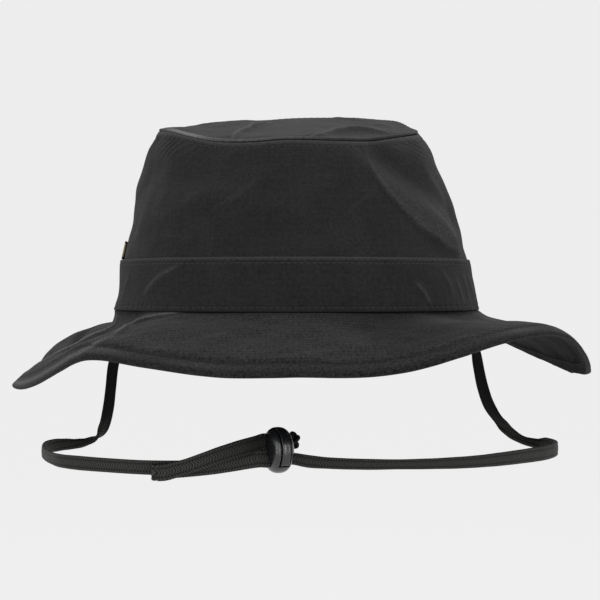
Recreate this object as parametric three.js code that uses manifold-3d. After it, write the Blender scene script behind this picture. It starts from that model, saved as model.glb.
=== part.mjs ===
// Soft angler hat: an oval crown with a wide band, a waved brim, a flat braided chin cord and a cord lock.
// Millimetres, +Z up. The origin is the middle of the head opening, at the foot of the crown.
// The front of the hat faces -Y. Angles round the hat are in degrees from the front towards +X.
import * as THREE from 'three';
import { mergeVertices } from 'three/addons/utils/BufferGeometryUtils.js';
import Module from 'manifold-3d';

const wasm = await Module();
wasm.setup();

// Cloth thicknesses and the gap that neighbours keep
const GAP = 0.3;
const CROWN_CLOTH = 1.5;
const TOP_CLOTH = 1.5;
const BAND_CLOTH = 1.2;
const BRIM_CLOTH = 1.4;
const HEM_EXTRA = 0.7;

// Steps of the facets: round the hat, up the crown wall, up the band and out from the top's middle
const AROUND_CROWN = 64;
const AROUND_BRIM = 92;
const WALL_LEVELS = [0, 0.1, 0.22, 0.34, 0.46, 0.58, 0.7, 0.8, 0.88, 0.94, 1];
const BAND_LEVELS = [0, 0.35, 0.7, 1];
const TOP_SHARES = [0.28, 0.55, 0.78, 0.92, 1];

// Band and label
const BAND_HEIGHT = 23;
const LABEL = { from: -98, to: -84, height: 8.6, thick: 0.8, steps: 4 };

// Crown wall, a row for each level: level is the share of the way from the foot to the rim.
const OVAL_POWER = 2.15;
const CROWN_LEVELS = [
  { level: 0.0, halfWidth: 83.4, halfDepth: 100.5, shiftX: 0.0 },
  { level: 0.1, halfWidth: 81.0, halfDepth: 98.6, shiftX: 0.0 },
  { level: 0.27, halfWidth: 79.7, halfDepth: 96.0, shiftX: -0.6 },
  { level: 0.36, halfWidth: 77.9, halfDepth: 94.0, shiftX: -0.9 },
  { level: 0.5, halfWidth: 75.3, halfDepth: 90.6, shiftX: -0.7 },
  { level: 0.67, halfWidth: 72.3, halfDepth: 86.2, shiftX: -2.2 },
  { level: 0.8, halfWidth: 68.6, halfDepth: 82.0, shiftX: -3.0 },
  { level: 0.9, halfWidth: 65.9, halfDepth: 78.6, shiftX: -3.1 },
  { level: 0.95, halfWidth: 63.4, halfDepth: 76.6, shiftX: -3.1 },
  { level: 1.0, halfWidth: 60.3, halfDepth: 73.5, shiftX: -3.7 },
];

// Height of the crown's rim round the hat: it tips down at the front and is low at the back left.
const RIM = [
  { at: -180, height: 96.3 },
  { at: -150, height: 92.5 },
  { at: -135, height: 89.8 },
  { at: -120, height: 87.3 },
  { at: -90, height: 84.3 },
  { at: -60, height: 80.6 },
  { at: -45, height: 77.2 },
  { at: -30, height: 74.0 },
  { at: -15, height: 73.2 },
  { at: 0, height: 74.0 },
  { at: 20, height: 73.3 },
  { at: 35, height: 73.8 },
  { at: 45, height: 75.8 },
  { at: 60, height: 78.8 },
  { at: 90, height: 84.0 },
  { at: 105, height: 86.8 },
  { at: 120, height: 91.5 },
  { at: 135, height: 93.9 },
  { at: 150, height: 95.9 },
];
const TOP_MIDDLE = 85.2;
const TOP_TILT = 0.152;
const TOP_DOME = 1.5;

// Soft folds of the crown: each runs from one angle and height to another, and stands out by rise.
const FOLD_PER_DEGREE = 1.5;
const FOLDS = [
  { fromAngle: 24, fromHeight: 64, toAngle: 62, toHeight: 30, width: 7, rise: 1.8 },
  { fromAngle: 36, fromHeight: 66, toAngle: 72, toHeight: 44, width: 9, rise: -2.2 },
  { fromAngle: -62, fromHeight: 60, toAngle: -24, toHeight: 58, width: 9, rise: -1.8 },
  { fromAngle: -26, fromHeight: 50, toAngle: -60, toHeight: 38, width: 8, rise: 1.2 },
  { fromAngle: 140, fromHeight: 70, toAngle: 172, toHeight: 46, width: 9, rise: -1.6 },
  { fromAngle: -160, fromHeight: 66, toAngle: -128, toHeight: 42, width: 9, rise: -1.6 },
];

// Brim, rows round the hat. drop is how far the edge lies below the crown's foot.
const BRIM_FOOT = { halfWidth: 84.6, halfDepth: 101.6 };
const BRIM_INNER = { halfWidth: 82.2, halfDepth: 99.3 };
const BRIM_DROP = [
  { at: -180, drop: 23.0 },
  { at: -165, drop: 18.2 },
  { at: -150, drop: 14.0 },
  { at: -135, drop: 11.6 },
  { at: -122, drop: 16.8 },
  { at: -110, drop: 27.0 },
  { at: -100, drop: 31.6 },
  { at: -90, drop: 33.0 },
  { at: -75, drop: 33.0 },
  { at: -62, drop: 32.2 },
  { at: -52, drop: 29.0 },
  { at: -43, drop: 23.2 },
  { at: -36, drop: 17.8 },
  { at: -31, drop: 17.2 },
  { at: -24, drop: 19.3 },
  { at: -12, drop: 22.6 },
  { at: 0, drop: 22.4 },
  { at: 10, drop: 22.5 },
  { at: 17, drop: 20.5 },
  { at: 25, drop: 15.2 },
  { at: 34, drop: 9.4 },
  { at: 43, drop: 7.4 },
  { at: 49, drop: 9.2 },
  { at: 55, drop: 14.6 },
  { at: 64, drop: 22.8 },
  { at: 75, drop: 27.6 },
  { at: 88, drop: 30.0 },
  { at: 100, drop: 29.8 },
  { at: 112, drop: 27.0 },
  { at: 123, drop: 22.4 },
  { at: 132, drop: 16.8 },
  { at: 142, drop: 12.2 },
  { at: 152, drop: 12.2 },
  { at: 166, drop: 17.2 },
];

// The brim's cross-section: width along the cloth, curl (degrees that it bends down towards the edge),
// root (degrees that it starts steeper beside the crown) and lip (degrees that the hem turns down more).
const BRIM_FORM = [
  { at: -180, width: 61.0, curl: 12, root: 10, lip: 14 },
  { at: -150, width: 60.0, curl: 16, root: 16, lip: 10 },
  { at: -125, width: 58.6, curl: 18, root: 34, lip: 2 },
  { at: -100, width: 59.0, curl: 14, root: 84, lip: 0 },
  { at: -88, width: 59.6, curl: 14, root: 84, lip: 4 },
  { at: -75, width: 59.0, curl: 20, root: 66, lip: 14 },
  { at: -60, width: 60.0, curl: 24, root: 46, lip: 34 },
  { at: -40, width: 60.8, curl: 18, root: 12, lip: 44 },
  { at: -15, width: 61.0, curl: 6, root: 8, lip: 36 },
  { at: 0, width: 61.0, curl: 3, root: 6, lip: 32 },
  { at: 15, width: 61.2, curl: 6, root: 8, lip: 32 },
  { at: 33, width: 61.4, curl: 10, root: 26, lip: 28 },
  { at: 43, width: 61.6, curl: 14, root: 38, lip: 24 },
  { at: 50, width: 62.0, curl: 36, root: 46, lip: 12 },
  { at: 58, width: 62.4, curl: 66, root: 54, lip: 2 },
  { at: 70, width: 63.0, curl: 92, root: 52, lip: 0 },
  { at: 82, width: 63.2, curl: 104, root: 40, lip: 0 },
  { at: 95, width: 63.0, curl: 96, root: 38, lip: 0 },
  { at: 112, width: 62.6, curl: 60, root: 36, lip: 0 },
  { at: 135, width: 61.6, curl: 24, root: 24, lip: 8 },
  { at: 160, width: 61.4, curl: 16, root: 14, lip: 14 },
];
const CURL_POWER = 3;
const ROOT_POWER = 5;
const BRIM_STEPS = 40;
const BRIM_STATIONS = [0, 3, 9, 17, 25, 33, 35, 37.4, 40];
const HEM_FROM = 34;
const LIP = { from: 0.83, to: 0.96 };

// Creases of the brim that run out from the crown, each swinging from one angle to another.
const RIDGE_POWER = 0.7;
const BRIM_RIDGES = [
  { fromAngle: -62, toAngle: -62, halfAngle: 5, rise: 1.5 },
  { fromAngle: -46, toAngle: -42, halfAngle: 5, rise: 1.6 },
  { fromAngle: -90, toAngle: -90, halfAngle: 4, rise: 0.8 },
  { fromAngle: 90, toAngle: 90, halfAngle: 4, rise: 0.8 },
];

// Chin cord: a flat braid. Rows are points of its middle line with the direction of its broad side.
const CORD = { width: 5.2, thick: 1.7 };
const CORD_STEPS = { left: 34, right: 48, fold: 8, tail: 14 };
const LEFT_ROUTE = [
  [-78.4, 2, 8, 0, 1, 0],
  [-80.0, 2, 0, 0, 1, 0],
  [-81.4, 2, -8, 0.15, 1, 0],
  [-83.8, 1.5, -17, 0.5, 0.85, 0],
  [-86.0, 1, -27, 0.78, 0.62, 0],
  [-87.1, 0, -37, 0.8, 0.6, 0],
  [-88.4, -1, -46, 0.8, 0.6, 0],
  [-90.6, -2, -54.5, 0.5, 0.85, 0],
  [-93.5, -3, -59.3, 0.2, 1, 0],
  [-97.5, -4.5, -61.5, 0, 1, 0.15],
  [-102, -6.5, -62.3, 0, 0.8, 0.6],
  [-107, -9, -62.4, 0, 0.35, 0.95],
  [-111.5, -14, -62.4, 0, 0, 1],
  [-114.2, -24, -62.4, 0, 0, 1],
  [-113.4, -40, -62.4, 0, 0, 1],
  [-109.6, -58, -62.4, 0, 0, 1],
  [-104.4, -76, -62.4, 0, 0, 1],
  [-98.5, -89, -62.4, 0, 0, 1],
  [-90, -98, -62.4, 0, 0, 1],
  [-78, -106, -62.4, 0, 0, 1],
  [-64, -112.4, -62.5, 0, 0, 1],
  [-55, -114.0, -62.6, 0, 0, 1],
  [-46, -114.0, -62.6, 0, 0, 1],
];
const RIGHT_ROUTE = [
  [78.4, 2, 8, 0, 1, 0],
  [80.0, 2, 0, 0, 1, 0],
  [81.4, 2, -8, -0.1, 1, 0],
  [83.6, 1.5, -17, -0.5, 0.85, 0],
  [85.2, 1, -27, -0.78, 0.62, 0],
  [87.2, 0, -36, -0.8, 0.6, 0],
  [90.2, -1, -44.5, -0.8, 0.6, 0],
  [94.2, -2, -51.3, -0.6, 0.8, -0.3],
  [99.6, -3.5, -57.3, -0.2, 1, -0.1],
  [105, -5.5, -60.6, 0, 1, 0.1],
  [110.3, -9, -61.8, 0, 0.75, 0.65],
  [115, -15, -62.3, 0, 0.2, 1],
  [117.6, -25, -62.4, 0, 0, 1],
  [115.4, -38, -62.4, 0, 0, 1],
  [109.6, -50, -62.4, 0, 0, 1],
  [103.6, -58.5, -62.4, 0, 0, 1],
  [95, -69.5, -62.4, 0, 0, 1],
  [86.4, -78.5, -62.4, 0, 0, 1],
  [77, -86.5, -62.4, 0, 0, 1],
  [68, -92.5, -62.4, 0, 0, 1],
  [55, -97.5, -62.4, 0, 0, 1],
  [42, -99.8, -62.4, 0, 0, 1],
  [28, -100.6, -62.2, 0, 0, 1],
  [14, -101.0, -61.4, 0, 0.05, 1],
  [5, -101.6, -60.6, 0, 0.15, 1],
  [-1.9, -103.5, -60.07, -0.105, 0.237, 0.966],
  [-7.2, -105.9, -60.07, -0.105, 0.237, 0.966],
  [-12.5, -108.26, -60.07, -0.105, 0.237, 0.966],
  [-22, -111.8, -61.0, 0, 0.1, 1],
  [-31, -114.4, -61.9, 0, 0, 1],
  [-40, -116, -62.8, 0, 0, 1],
  [-50, -116.4, -63.6, 0, 0, 1],
  [-56.2, -116.4, -64.0, 0, 0, 1],
];
const TAIL_ROUTE = [
  [-56.1, -118.6, -64.4, 0, 0, 1],
  [-53, -118.7, -64.2, 0, 0, 1],
  [-49, -118.7, -63.2, 0, 0, 1],
  [-44, -118.7, -61.8, 0, 0, 1],
  [-37, -118.3, -59.4, 0, 0, 1],
  [-30, -116.5, -57.0, 0, 0, 1],
  [-22, -112.2, -54.6, 0, 0.1, 1],
  [-13.3, -106.46, -52.73, -0.105, 0.237, 0.966],
  [-8.0, -104.1, -52.73, -0.105, 0.237, 0.966],
  [-3.25, -101.99, -52.73, -0.105, 0.237, 0.966],
];
const FOLD = { x: -56.6, backY: -116.4, frontY: -118.6, z: -64.3, width: 6.8, points: 6 };
const KNOT = { along: 7.7, halfLength: 2.2, halfDepth: 2.6, halfHeight: 3.7, around: 12, rings: 8 };

// Cord lock: a flat round body with two cord holes through it and a sprung button in its rim.
const LOCK = { x: -7.6, y: -105, z: -56.4, yaw: 24, tilt: 15 };
const LOCK_BODY = { radius: 9.45, halfThick: 5.25, power: 2.6, profile: 14, around: 28 };
const CORD_HOLE = { offset: 3.8, height: 6.0, depth: 2.5, round: 0.8 };
const BUTTON = {
  width: 3.6,
  low: -7.6,
  high: 8.3,
  inner: -3.8,
  tongueEnd: 4.6,
  tongueHalf: 0.8,
  proud: 0.25,
};
const BUTTON_SLOT = { width: 4.6, margin: 0.3, inner: -0.95, tongueEnd: 7.4 };
const MERGE_DISTANCE = 1e-4;

const COTTON = { color: 0x2b2b2c, roughness: 0.9, metalness: 0 };
const LABEL_WEAVE = { color: 0x6d5f4a, roughness: 0.85, metalness: 0 };
const BRAID = { color: 0x25282a, roughness: 0.8, metalness: 0 };
const PLASTIC = { color: 0x1c1d1f, roughness: 0.35, metalness: 0 };

const radians = THREE.MathUtils.degToRad;

// Smooth value of one column between the rows of a table
function smooth(rows, key, column, value) {
  const last = rows.length - 1;
  const slope = (i) => {
    const a = rows[Math.max(i - 1, 0)];
    const b = rows[Math.min(i + 1, last)];
    return (b[column] - a[column]) / (b[key] - a[key]);
  };
  let i = 0;
  while (i < last - 1 && value >= rows[i + 1][key]) {
    i += 1;
  }
  const span = rows[i + 1][key] - rows[i][key];
  const t = (value - rows[i][key]) / span;
  const start = (1 + 2 * t) * (1 - t) ** 2 * rows[i][column] + t * (1 - t) ** 2 * span * slope(i);
  const end = t * t * (3 - 2 * t) * rows[i + 1][column] + t * t * (t - 1) * span * slope(i + 1);
  return start + end;
}

// The same round the hat: the rows repeat after 360 degrees.
function smoothRound(rows, column, angle) {
  const turned = (row, turn) => ({ at: row.at + turn, [column]: row[column] });
  const before = turned(rows[rows.length - 1], -360);
  const after = [turned(rows[0], 360), turned(rows[1], 360)];
  const first = rows[0].at;
  const wrapped = first + THREE.MathUtils.euclideanModulo(angle - first, 360);
  return smooth([before, ...rows, ...after], 'at', column, wrapped);
}

// A point of an oval, between an ellipse and a rounded rectangle for powers over 2
function ovalPoint(angle, halfWidth, halfDepth, power) {
  const s = Math.sin(radians(angle));
  const c = Math.cos(radians(angle));
  const scale = (Math.abs(s) ** power + Math.abs(c) ** power) ** (-1 / power);
  return new THREE.Vector3(halfWidth * s * scale, -halfDepth * c * scale, 0);
}

// Level direction that points straight out of an oval
function outward(angle, halfWidth, halfDepth) {
  const s = Math.sin(radians(angle));
  const c = Math.cos(radians(angle));
  return new THREE.Vector3(s / halfWidth, -c / halfDepth, 0).normalize();
}

// How far the folds push the crown's cloth out at a place: a soft mound along each fold's line
function foldRise(angle, height) {
  let rise = 0;
  for (const fold of FOLDS) {
    const alongX = (fold.toAngle - fold.fromAngle) * FOLD_PER_DEGREE;
    const alongY = fold.toHeight - fold.fromHeight;
    const x = (angle - fold.fromAngle) * FOLD_PER_DEGREE;
    const y = height - fold.fromHeight;
    const share = (x * alongX + y * alongY) / (alongX ** 2 + alongY ** 2);
    const near = THREE.MathUtils.clamp(share, 0, 1);
    const away = Math.hypot(x - near * alongX, y - near * alongY);
    rise += fold.rise * Math.exp(-((away / fold.width) ** 2));
  }
  return rise;
}

const crownHeight = (angle) => smoothRound(RIM, 'height', angle) - TOP_CLOTH - GAP;

// A point of the crown wall's outer face, moved out by extra
function crownPoint(angle, level, extra) {
  const halfWidth = smooth(CROWN_LEVELS, 'level', 'halfWidth', level);
  const halfDepth = smooth(CROWN_LEVELS, 'level', 'halfDepth', level);
  const point = ovalPoint(angle, halfWidth, halfDepth, OVAL_POWER);
  const height = level * crownHeight(angle);
  const out = extra + foldRise(angle, height);
  point.addScaledVector(outward(angle, halfWidth, halfDepth), out);
  point.x += smooth(CROWN_LEVELS, 'level', 'shiftX', level);
  point.z = height;
  return point;
}

// Middle line of the brim's section at an angle, as level reach and drop from the crown's foot
function brimProfile(angle) {
  const form = (column) => smoothRound(BRIM_FORM, column, angle);
  const width = form('width');
  const curl = radians(form('curl'));
  const root = radians(form('root'));
  const lip = radians(form('lip'));
  const lipMean = 1 - (LIP.from + LIP.to) / 2;
  const bends = [];
  for (let i = 0; i < BRIM_STEPS; i += 1) {
    const share = (i + 0.5) / BRIM_STEPS;
    const curled = curl * (share ** CURL_POWER - 1 / (CURL_POWER + 1));
    const rooted = root * ((1 - share) ** ROOT_POWER - 1 / (ROOT_POWER + 1));
    const turned = THREE.MathUtils.smoothstep(share, LIP.from, LIP.to);
    bends.push(curled + rooted + lip * (turned - lipMean));
  }
  const meanCos = bends.reduce((sum, bend) => sum + Math.cos(bend), 0) / BRIM_STEPS;
  const meanSin = bends.reduce((sum, bend) => sum + Math.sin(bend), 0) / BRIM_STEPS;
  const chord = width * Math.hypot(meanCos, meanSin);
  const edgeDrop = smoothRound(BRIM_DROP, 'drop', angle);
  const lean = Math.asin(edgeDrop / chord) - Math.atan2(meanSin, meanCos);
  const step = width / BRIM_STEPS;
  const profile = [{ reach: 0, drop: 0 }];
  for (const bend of bends) {
    const { reach, drop } = profile[profile.length - 1];
    profile.push({
      reach: reach + step * Math.cos(lean + bend),
      drop: drop + step * Math.sin(lean + bend),
    });
  }
  return profile;
}

// How far the radial creases lift the brim at a share of its width
function ridgeRise(angle, share) {
  let rise = 0;
  for (const ridge of BRIM_RIDGES) {
    const middle = THREE.MathUtils.lerp(ridge.fromAngle, ridge.toAngle, share);
    const away = Math.abs(angle - middle) / ridge.halfAngle;
    rise += ridge.rise * Math.max(0, 1 - away) * Math.sin(Math.PI * share ** RIDGE_POWER);
  }
  return rise;
}

// Top and underside points of the brim at an angle, from the crown's foot to the edge
function brimSection(angle) {
  const foot = ovalPoint(angle, BRIM_FOOT.halfWidth, BRIM_FOOT.halfDepth, 2);
  const inner = ovalPoint(angle, BRIM_INNER.halfWidth, BRIM_INNER.halfDepth, 2);
  const out = outward(angle, BRIM_FOOT.halfWidth, BRIM_FOOT.halfDepth);
  const profile = brimProfile(angle);
  const top = [inner.setZ(-GAP)];
  const under = [inner.clone().setZ(-GAP - BRIM_CLOTH)];
  for (const station of BRIM_STATIONS) {
    const share = station / BRIM_STEPS;
    const low = Math.floor(station);
    const high = Math.min(low + 1, BRIM_STEPS);
    const reach = THREE.MathUtils.lerp(profile[low].reach, profile[high].reach, station - low);
    const drop = THREE.MathUtils.lerp(profile[low].drop, profile[high].drop, station - low);
    const before = profile[Math.max(low - 1, 0)];
    const after = profile[Math.min(low + 1, BRIM_STEPS)];
    const slope = Math.atan2(after.drop - before.drop, after.reach - before.reach);
    const thick = BRIM_CLOTH + (station > HEM_FROM ? HEM_EXTRA : 0);
    const above = foot.clone().addScaledVector(out, reach);
    above.z = -GAP - drop + ridgeRise(angle, share);
    const below = above.clone().addScaledVector(out, -thick * Math.sin(slope));
    below.z -= thick * Math.cos(slope);
    top.push(above);
    under.push(below);
  }
  return [...top, ...under.reverse()];
}

// Mesh data from points and triangles
function facets(points, triangles) {
  const geometry = new THREE.BufferGeometry();
  const places = points.flatMap((point) => point.toArray());
  geometry.setAttribute('position', new THREE.Float32BufferAttribute(places, 3));
  geometry.setIndex(triangles.flat());
  return geometry;
}

// Skin between neighbouring sections of equal length; each section is a closed loop
function skin(sections, closed) {
  const size = sections[0].length;
  const triangles = [];
  const count = closed ? sections.length : sections.length - 1;
  for (let i = 0; i < count; i += 1) {
    const next = (i + 1) % sections.length;
    for (let j = 0; j < size; j += 1) {
      const k = (j + 1) % size;
      triangles.push([i * size + j, next * size + k, next * size + j]);
      triangles.push([i * size + j, i * size + k, next * size + k]);
    }
  }
  return triangles;
}

// A solid ring: a closed section at each angle round the hat
function ring(sectionAt, around) {
  const sections = [];
  for (let i = 0; i < around; i += 1) {
    sections.push(sectionAt(-180 + (360 * i) / around));
  }
  return facets(sections.flat(), skin(sections, true));
}

// A solid bar: sections from end to end, each end closed by a fan
function bar(sections) {
  const size = sections[0].length;
  const last = (sections.length - 1) * size;
  const triangles = skin(sections, false);
  for (let j = 1; j < size - 1; j += 1) {
    triangles.push([0, j + 1, j]);
    triangles.push([last, last + j, last + j + 1]);
  }
  return facets(sections.flat(), triangles);
}

// Wall of the crown: outer levels up, inner levels down
function crownWall() {
  return ring((angle) => {
    const outer = WALL_LEVELS.map((level) => crownPoint(angle, level, 0));
    const inner = WALL_LEVELS.map((level) => crownPoint(angle, level, -CROWN_CLOTH));
    return [...outer.reverse(), ...inner];
  }, AROUND_CROWN);
}

// Band round the crown's foot
function crownBand() {
  return ring((angle) => {
    const top = BAND_HEIGHT / crownHeight(angle);
    const outer = BAND_LEVELS.map((level) => crownPoint(angle, level * top, GAP + BAND_CLOTH));
    const inner = BAND_LEVELS.map((level) => crownPoint(angle, level * top, GAP));
    return [...outer.reverse(), ...inner];
  }, AROUND_CROWN);
}

// Height of the top panel at a share of the way from its middle to the rim
function topHeight(angle, share) {
  const rim = crownPoint(angle, 1, 0);
  const plane = TOP_MIDDLE + TOP_TILT * rim.y;
  const wave = rim.z + GAP + TOP_CLOTH - plane;
  return TOP_MIDDLE + TOP_TILT * rim.y * share + wave * share ** 3 + TOP_DOME * (1 - share ** 2);
}

// Top panel of the crown: rings from the middle out, then back along the underside
function crownTop() {
  const middle = smooth(CROWN_LEVELS, 'level', 'shiftX', 1);
  const points = [];
  const addRing = (share, below) => {
    for (let i = 0; i < AROUND_CROWN; i += 1) {
      const angle = -180 + (360 * i) / AROUND_CROWN;
      const rim = crownPoint(angle, 1, 0);
      const x = middle + (rim.x - middle) * share;
      points.push(new THREE.Vector3(x, rim.y * share, topHeight(angle, share) - below));
    }
  };
  for (const share of TOP_SHARES) {
    addRing(share, 0);
  }
  for (const share of [...TOP_SHARES].reverse()) {
    addRing(share, TOP_CLOTH);
  }
  const rows = 2 * TOP_SHARES.length;
  const triangles = [];
  for (let row = 0; row < rows - 1; row += 1) {
    for (let i = 0; i < AROUND_CROWN; i += 1) {
      const a = row * AROUND_CROWN + i;
      const b = row * AROUND_CROWN + ((i + 1) % AROUND_CROWN);
      triangles.push([a, a + AROUND_CROWN, b + AROUND_CROWN]);
      triangles.push([a, b + AROUND_CROWN, b]);
    }
  }
  const upper = points.push(new THREE.Vector3(middle, 0, TOP_MIDDLE + TOP_DOME)) - 1;
  const lower = points.push(new THREE.Vector3(middle, 0, TOP_MIDDLE + TOP_DOME - TOP_CLOTH)) - 1;
  const lastRow = (rows - 1) * AROUND_CROWN;
  for (let i = 0; i < AROUND_CROWN; i += 1) {
    const next = (i + 1) % AROUND_CROWN;
    triangles.push([upper, i, next]);
    triangles.push([lower, lastRow + next, lastRow + i]);
  }
  return facets(points, triangles);
}

// Small label that stands on the band's top edge and lies on the wall
function sideLabel() {
  const sections = [];
  for (let i = 0; i <= LABEL.steps; i += 1) {
    const angle = THREE.MathUtils.lerp(LABEL.from, LABEL.to, i / LABEL.steps);
    const low = (BAND_HEIGHT + GAP) / crownHeight(angle);
    const high = (BAND_HEIGHT + GAP + LABEL.height) / crownHeight(angle);
    const outside = GAP + LABEL.thick;
    sections.push([
      crownPoint(angle, low, outside),
      crownPoint(angle, low, GAP),
      crownPoint(angle, high, GAP),
      crownPoint(angle, high, outside),
    ]);
  }
  return bar(sections);
}

// A route whose frames keep the broad side of a flat cord where the rows put it
class FlatRoute extends THREE.CatmullRomCurve3 {
  constructor(rows) {
    super(rows.map(([x, y, z]) => new THREE.Vector3(x, y, z)), false, 'centripetal');
    this.broad = rows.map((row) => new THREE.Vector3(row[3], row[4], row[5]).normalize());
  }

  computeFrenetFrames(steps) {
    const frames = { tangents: [], normals: [], binormals: [] };
    for (let i = 0; i <= steps; i += 1) {
      const place = this.getUtoTmapping(i / steps) * (this.broad.length - 1);
      const low = Math.min(Math.floor(place), this.broad.length - 2);
      const tangent = this.getTangentAt(i / steps);
      const broad = this.broad[low].clone().lerp(this.broad[low + 1], place - low);
      const normal = broad.addScaledVector(tangent, -broad.dot(tangent)).normalize();
      frames.tangents.push(tangent);
      frames.normals.push(normal);
      frames.binormals.push(tangent.clone().cross(normal));
    }
    return frames;
  }
}

// Section of the flat braid, eight sides: its broad side lies along x
function braidSection(width, thick) {
  const x = width / 2;
  const y = thick / 2;
  const edge = y / 2;
  const corners = [
    [x, edge], [x - y, y], [y - x, y], [-x, edge],
    [-x, -edge], [y - x, -y], [x - y, -y], [x, -edge],
  ];
  return new THREE.Shape(corners.map(([a, b]) => new THREE.Vector2(a, b)));
}

// Solid of a stretch of cord along its route
function cord(rows, steps, width = CORD.width) {
  const options = { steps, bevelEnabled: false, extrudePath: new FlatRoute(rows) };
  return new THREE.ExtrudeGeometry(braidSection(width, CORD.thick), options);
}

// The turn where the cord doubles back, on a half circle seen from above
function cordFold() {
  const middleY = (FOLD.backY + FOLD.frontY) / 2;
  const radius = (FOLD.backY - FOLD.frontY) / 2;
  const rows = [];
  for (let i = 0; i <= FOLD.points; i += 1) {
    const turn = (Math.PI * i) / FOLD.points;
    rows.push([FOLD.x - radius * Math.sin(turn), middleY + radius * Math.cos(turn), FOLD.z, 0, 0, 1]);
  }
  return cord(rows, CORD_STEPS.fold, FOLD.width);
}

// Closed mesh to a solid that can be cut, and back
function toSolid(geometry) {
  const bare = geometry.clone();
  bare.deleteAttribute('normal');
  bare.deleteAttribute('uv');
  const merged = mergeVertices(bare, MERGE_DISTANCE);
  const index = merged.index.array;
  const kept = [];
  for (let i = 0; i < index.length; i += 3) {
    const corners = [index[i], index[i + 1], index[i + 2]];
    if (new Set(corners).size === 3) {
      kept.push(...corners);
    }
  }
  const vertProperties = new Float32Array(merged.attributes.position.array);
  const triVerts = new Uint32Array(kept);
  return new wasm.Manifold(new wasm.Mesh({ numProp: 3, vertProperties, triVerts }));
}

function fromSolid(solid) {
  const mesh = solid.getMesh();
  const geometry = new THREE.BufferGeometry();
  geometry.setAttribute('position', new THREE.BufferAttribute(new Float32Array(mesh.vertProperties), 3));
  geometry.setIndex(Array.from(mesh.triVerts));
  return geometry;
}

// Flat round form turned about X, which is the way that the cords pass through the lock
function lockForm(radius) {
  const { halfThick, power, profile: steps, around } = LOCK_BODY;
  const profile = [];
  for (let i = 0; i <= steps; i += 1) {
    const angle = (Math.PI * i) / steps;
    const c = Math.cos(angle);
    const s = Math.sin(angle);
    const scale = (Math.abs(c) ** power + s ** power) ** (-1 / power);
    const onAxis = i === 0 || i === steps;
    profile.push(new THREE.Vector2(onAxis ? 0 : radius * s * scale, -halfThick * c * scale));
  }
  return toSolid(new THREE.LatheGeometry(profile, around).rotateZ(-Math.PI / 2));
}

// Outline in the lock's plane, extruded across it: x points into the rim, y along the button
function acrossLock(outline, width) {
  const shape = new THREE.Shape(outline.map(([x, y]) => new THREE.Vector2(x, y)));
  const geometry = new THREE.ExtrudeGeometry(shape, { depth: width, bevelEnabled: false });
  geometry.translate(0, 0, -width / 2);
  const tilt = radians(LOCK.tilt);
  const inward = new THREE.Vector3(0, Math.cos(tilt), -Math.sin(tilt));
  const along = new THREE.Vector3(0, Math.sin(tilt), Math.cos(tilt));
  const across = new THREE.Vector3(1, 0, 0);
  return toSolid(geometry.applyMatrix4(new THREE.Matrix4().makeBasis(inward, along, across)));
}

// Round body with the slot for the button and its tongue, and the two cord holes
function lockBody() {
  const outside = -2 * LOCK_BODY.radius;
  const low = BUTTON.low - BUTTON_SLOT.margin;
  const high = BUTTON.high + BUTTON_SLOT.margin;
  const half = BUTTON.tongueHalf + BUTTON_SLOT.margin;
  const { inner, tongueEnd, width } = BUTTON_SLOT;
  const slot = [
    [outside, low], [inner, low], [inner, -half], [tongueEnd, -half],
    [tongueEnd, half], [inner, half], [inner, high], [outside, high],
  ];
  let body = lockForm(LOCK_BODY.radius).subtract(acrossLock(slot, width));
  for (const side of [-1, 1]) {
    const x = CORD_HOLE.depth / 2;
    const y = CORD_HOLE.height / 2;
    const middle = side * CORD_HOLE.offset;
    const { round } = CORD_HOLE;
    const hole = [
      [-x, middle - y + round], [round - x, middle - y], [x - round, middle - y], [x, middle - y + round],
      [x, middle + y - round], [x - round, middle + y], [round - x, middle + y], [-x, middle + y - round],
    ];
    body = body.subtract(acrossLock(hole, 4 * LOCK_BODY.halfThick));
  }
  return fromSolid(body);
}

// Button in the body's rim, with the tongue that runs in between the cords
function lockPlunger() {
  const outside = -2 * LOCK_BODY.radius;
  const { low, high, inner, tongueEnd, tongueHalf, width, proud } = BUTTON;
  const outline = [
    [outside, low], [inner, low], [inner, -tongueHalf], [tongueEnd, -tongueHalf],
    [tongueEnd, tongueHalf], [inner, tongueHalf], [inner, high], [outside, high],
  ];
  return fromSolid(acrossLock(outline, width).intersect(lockForm(LOCK_BODY.radius + proud)));
}

// Knot on the cord's end, just past the lock
function knot() {
  const form = new THREE.SphereGeometry(1, KNOT.around, KNOT.rings);
  return form.scale(KNOT.halfLength, KNOT.halfDepth, KNOT.halfHeight);
}

// Named mesh of a sub-part
function piece(name, geometry, finish) {
  const mesh = new THREE.Mesh(geometry, new THREE.MeshStandardMaterial(finish));
  mesh.name = name;
  return mesh;
}

// The lock and the knot share the lock's place and turn
function lockGroup() {
  const group = new THREE.Group();
  group.position.set(LOCK.x, LOCK.y, LOCK.z);
  group.rotation.z = radians(LOCK.yaw);
  const end = piece('cord_knot', knot(), BRAID);
  const tilt = radians(LOCK.tilt);
  end.position.set(KNOT.along, CORD_HOLE.offset * Math.sin(tilt), CORD_HOLE.offset * Math.cos(tilt));
  group.add(piece('lock_body', lockBody(), PLASTIC));
  group.add(piece('lock_plunger', lockPlunger(), PLASTIC));
  group.add(end);
  return group;
}

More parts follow.
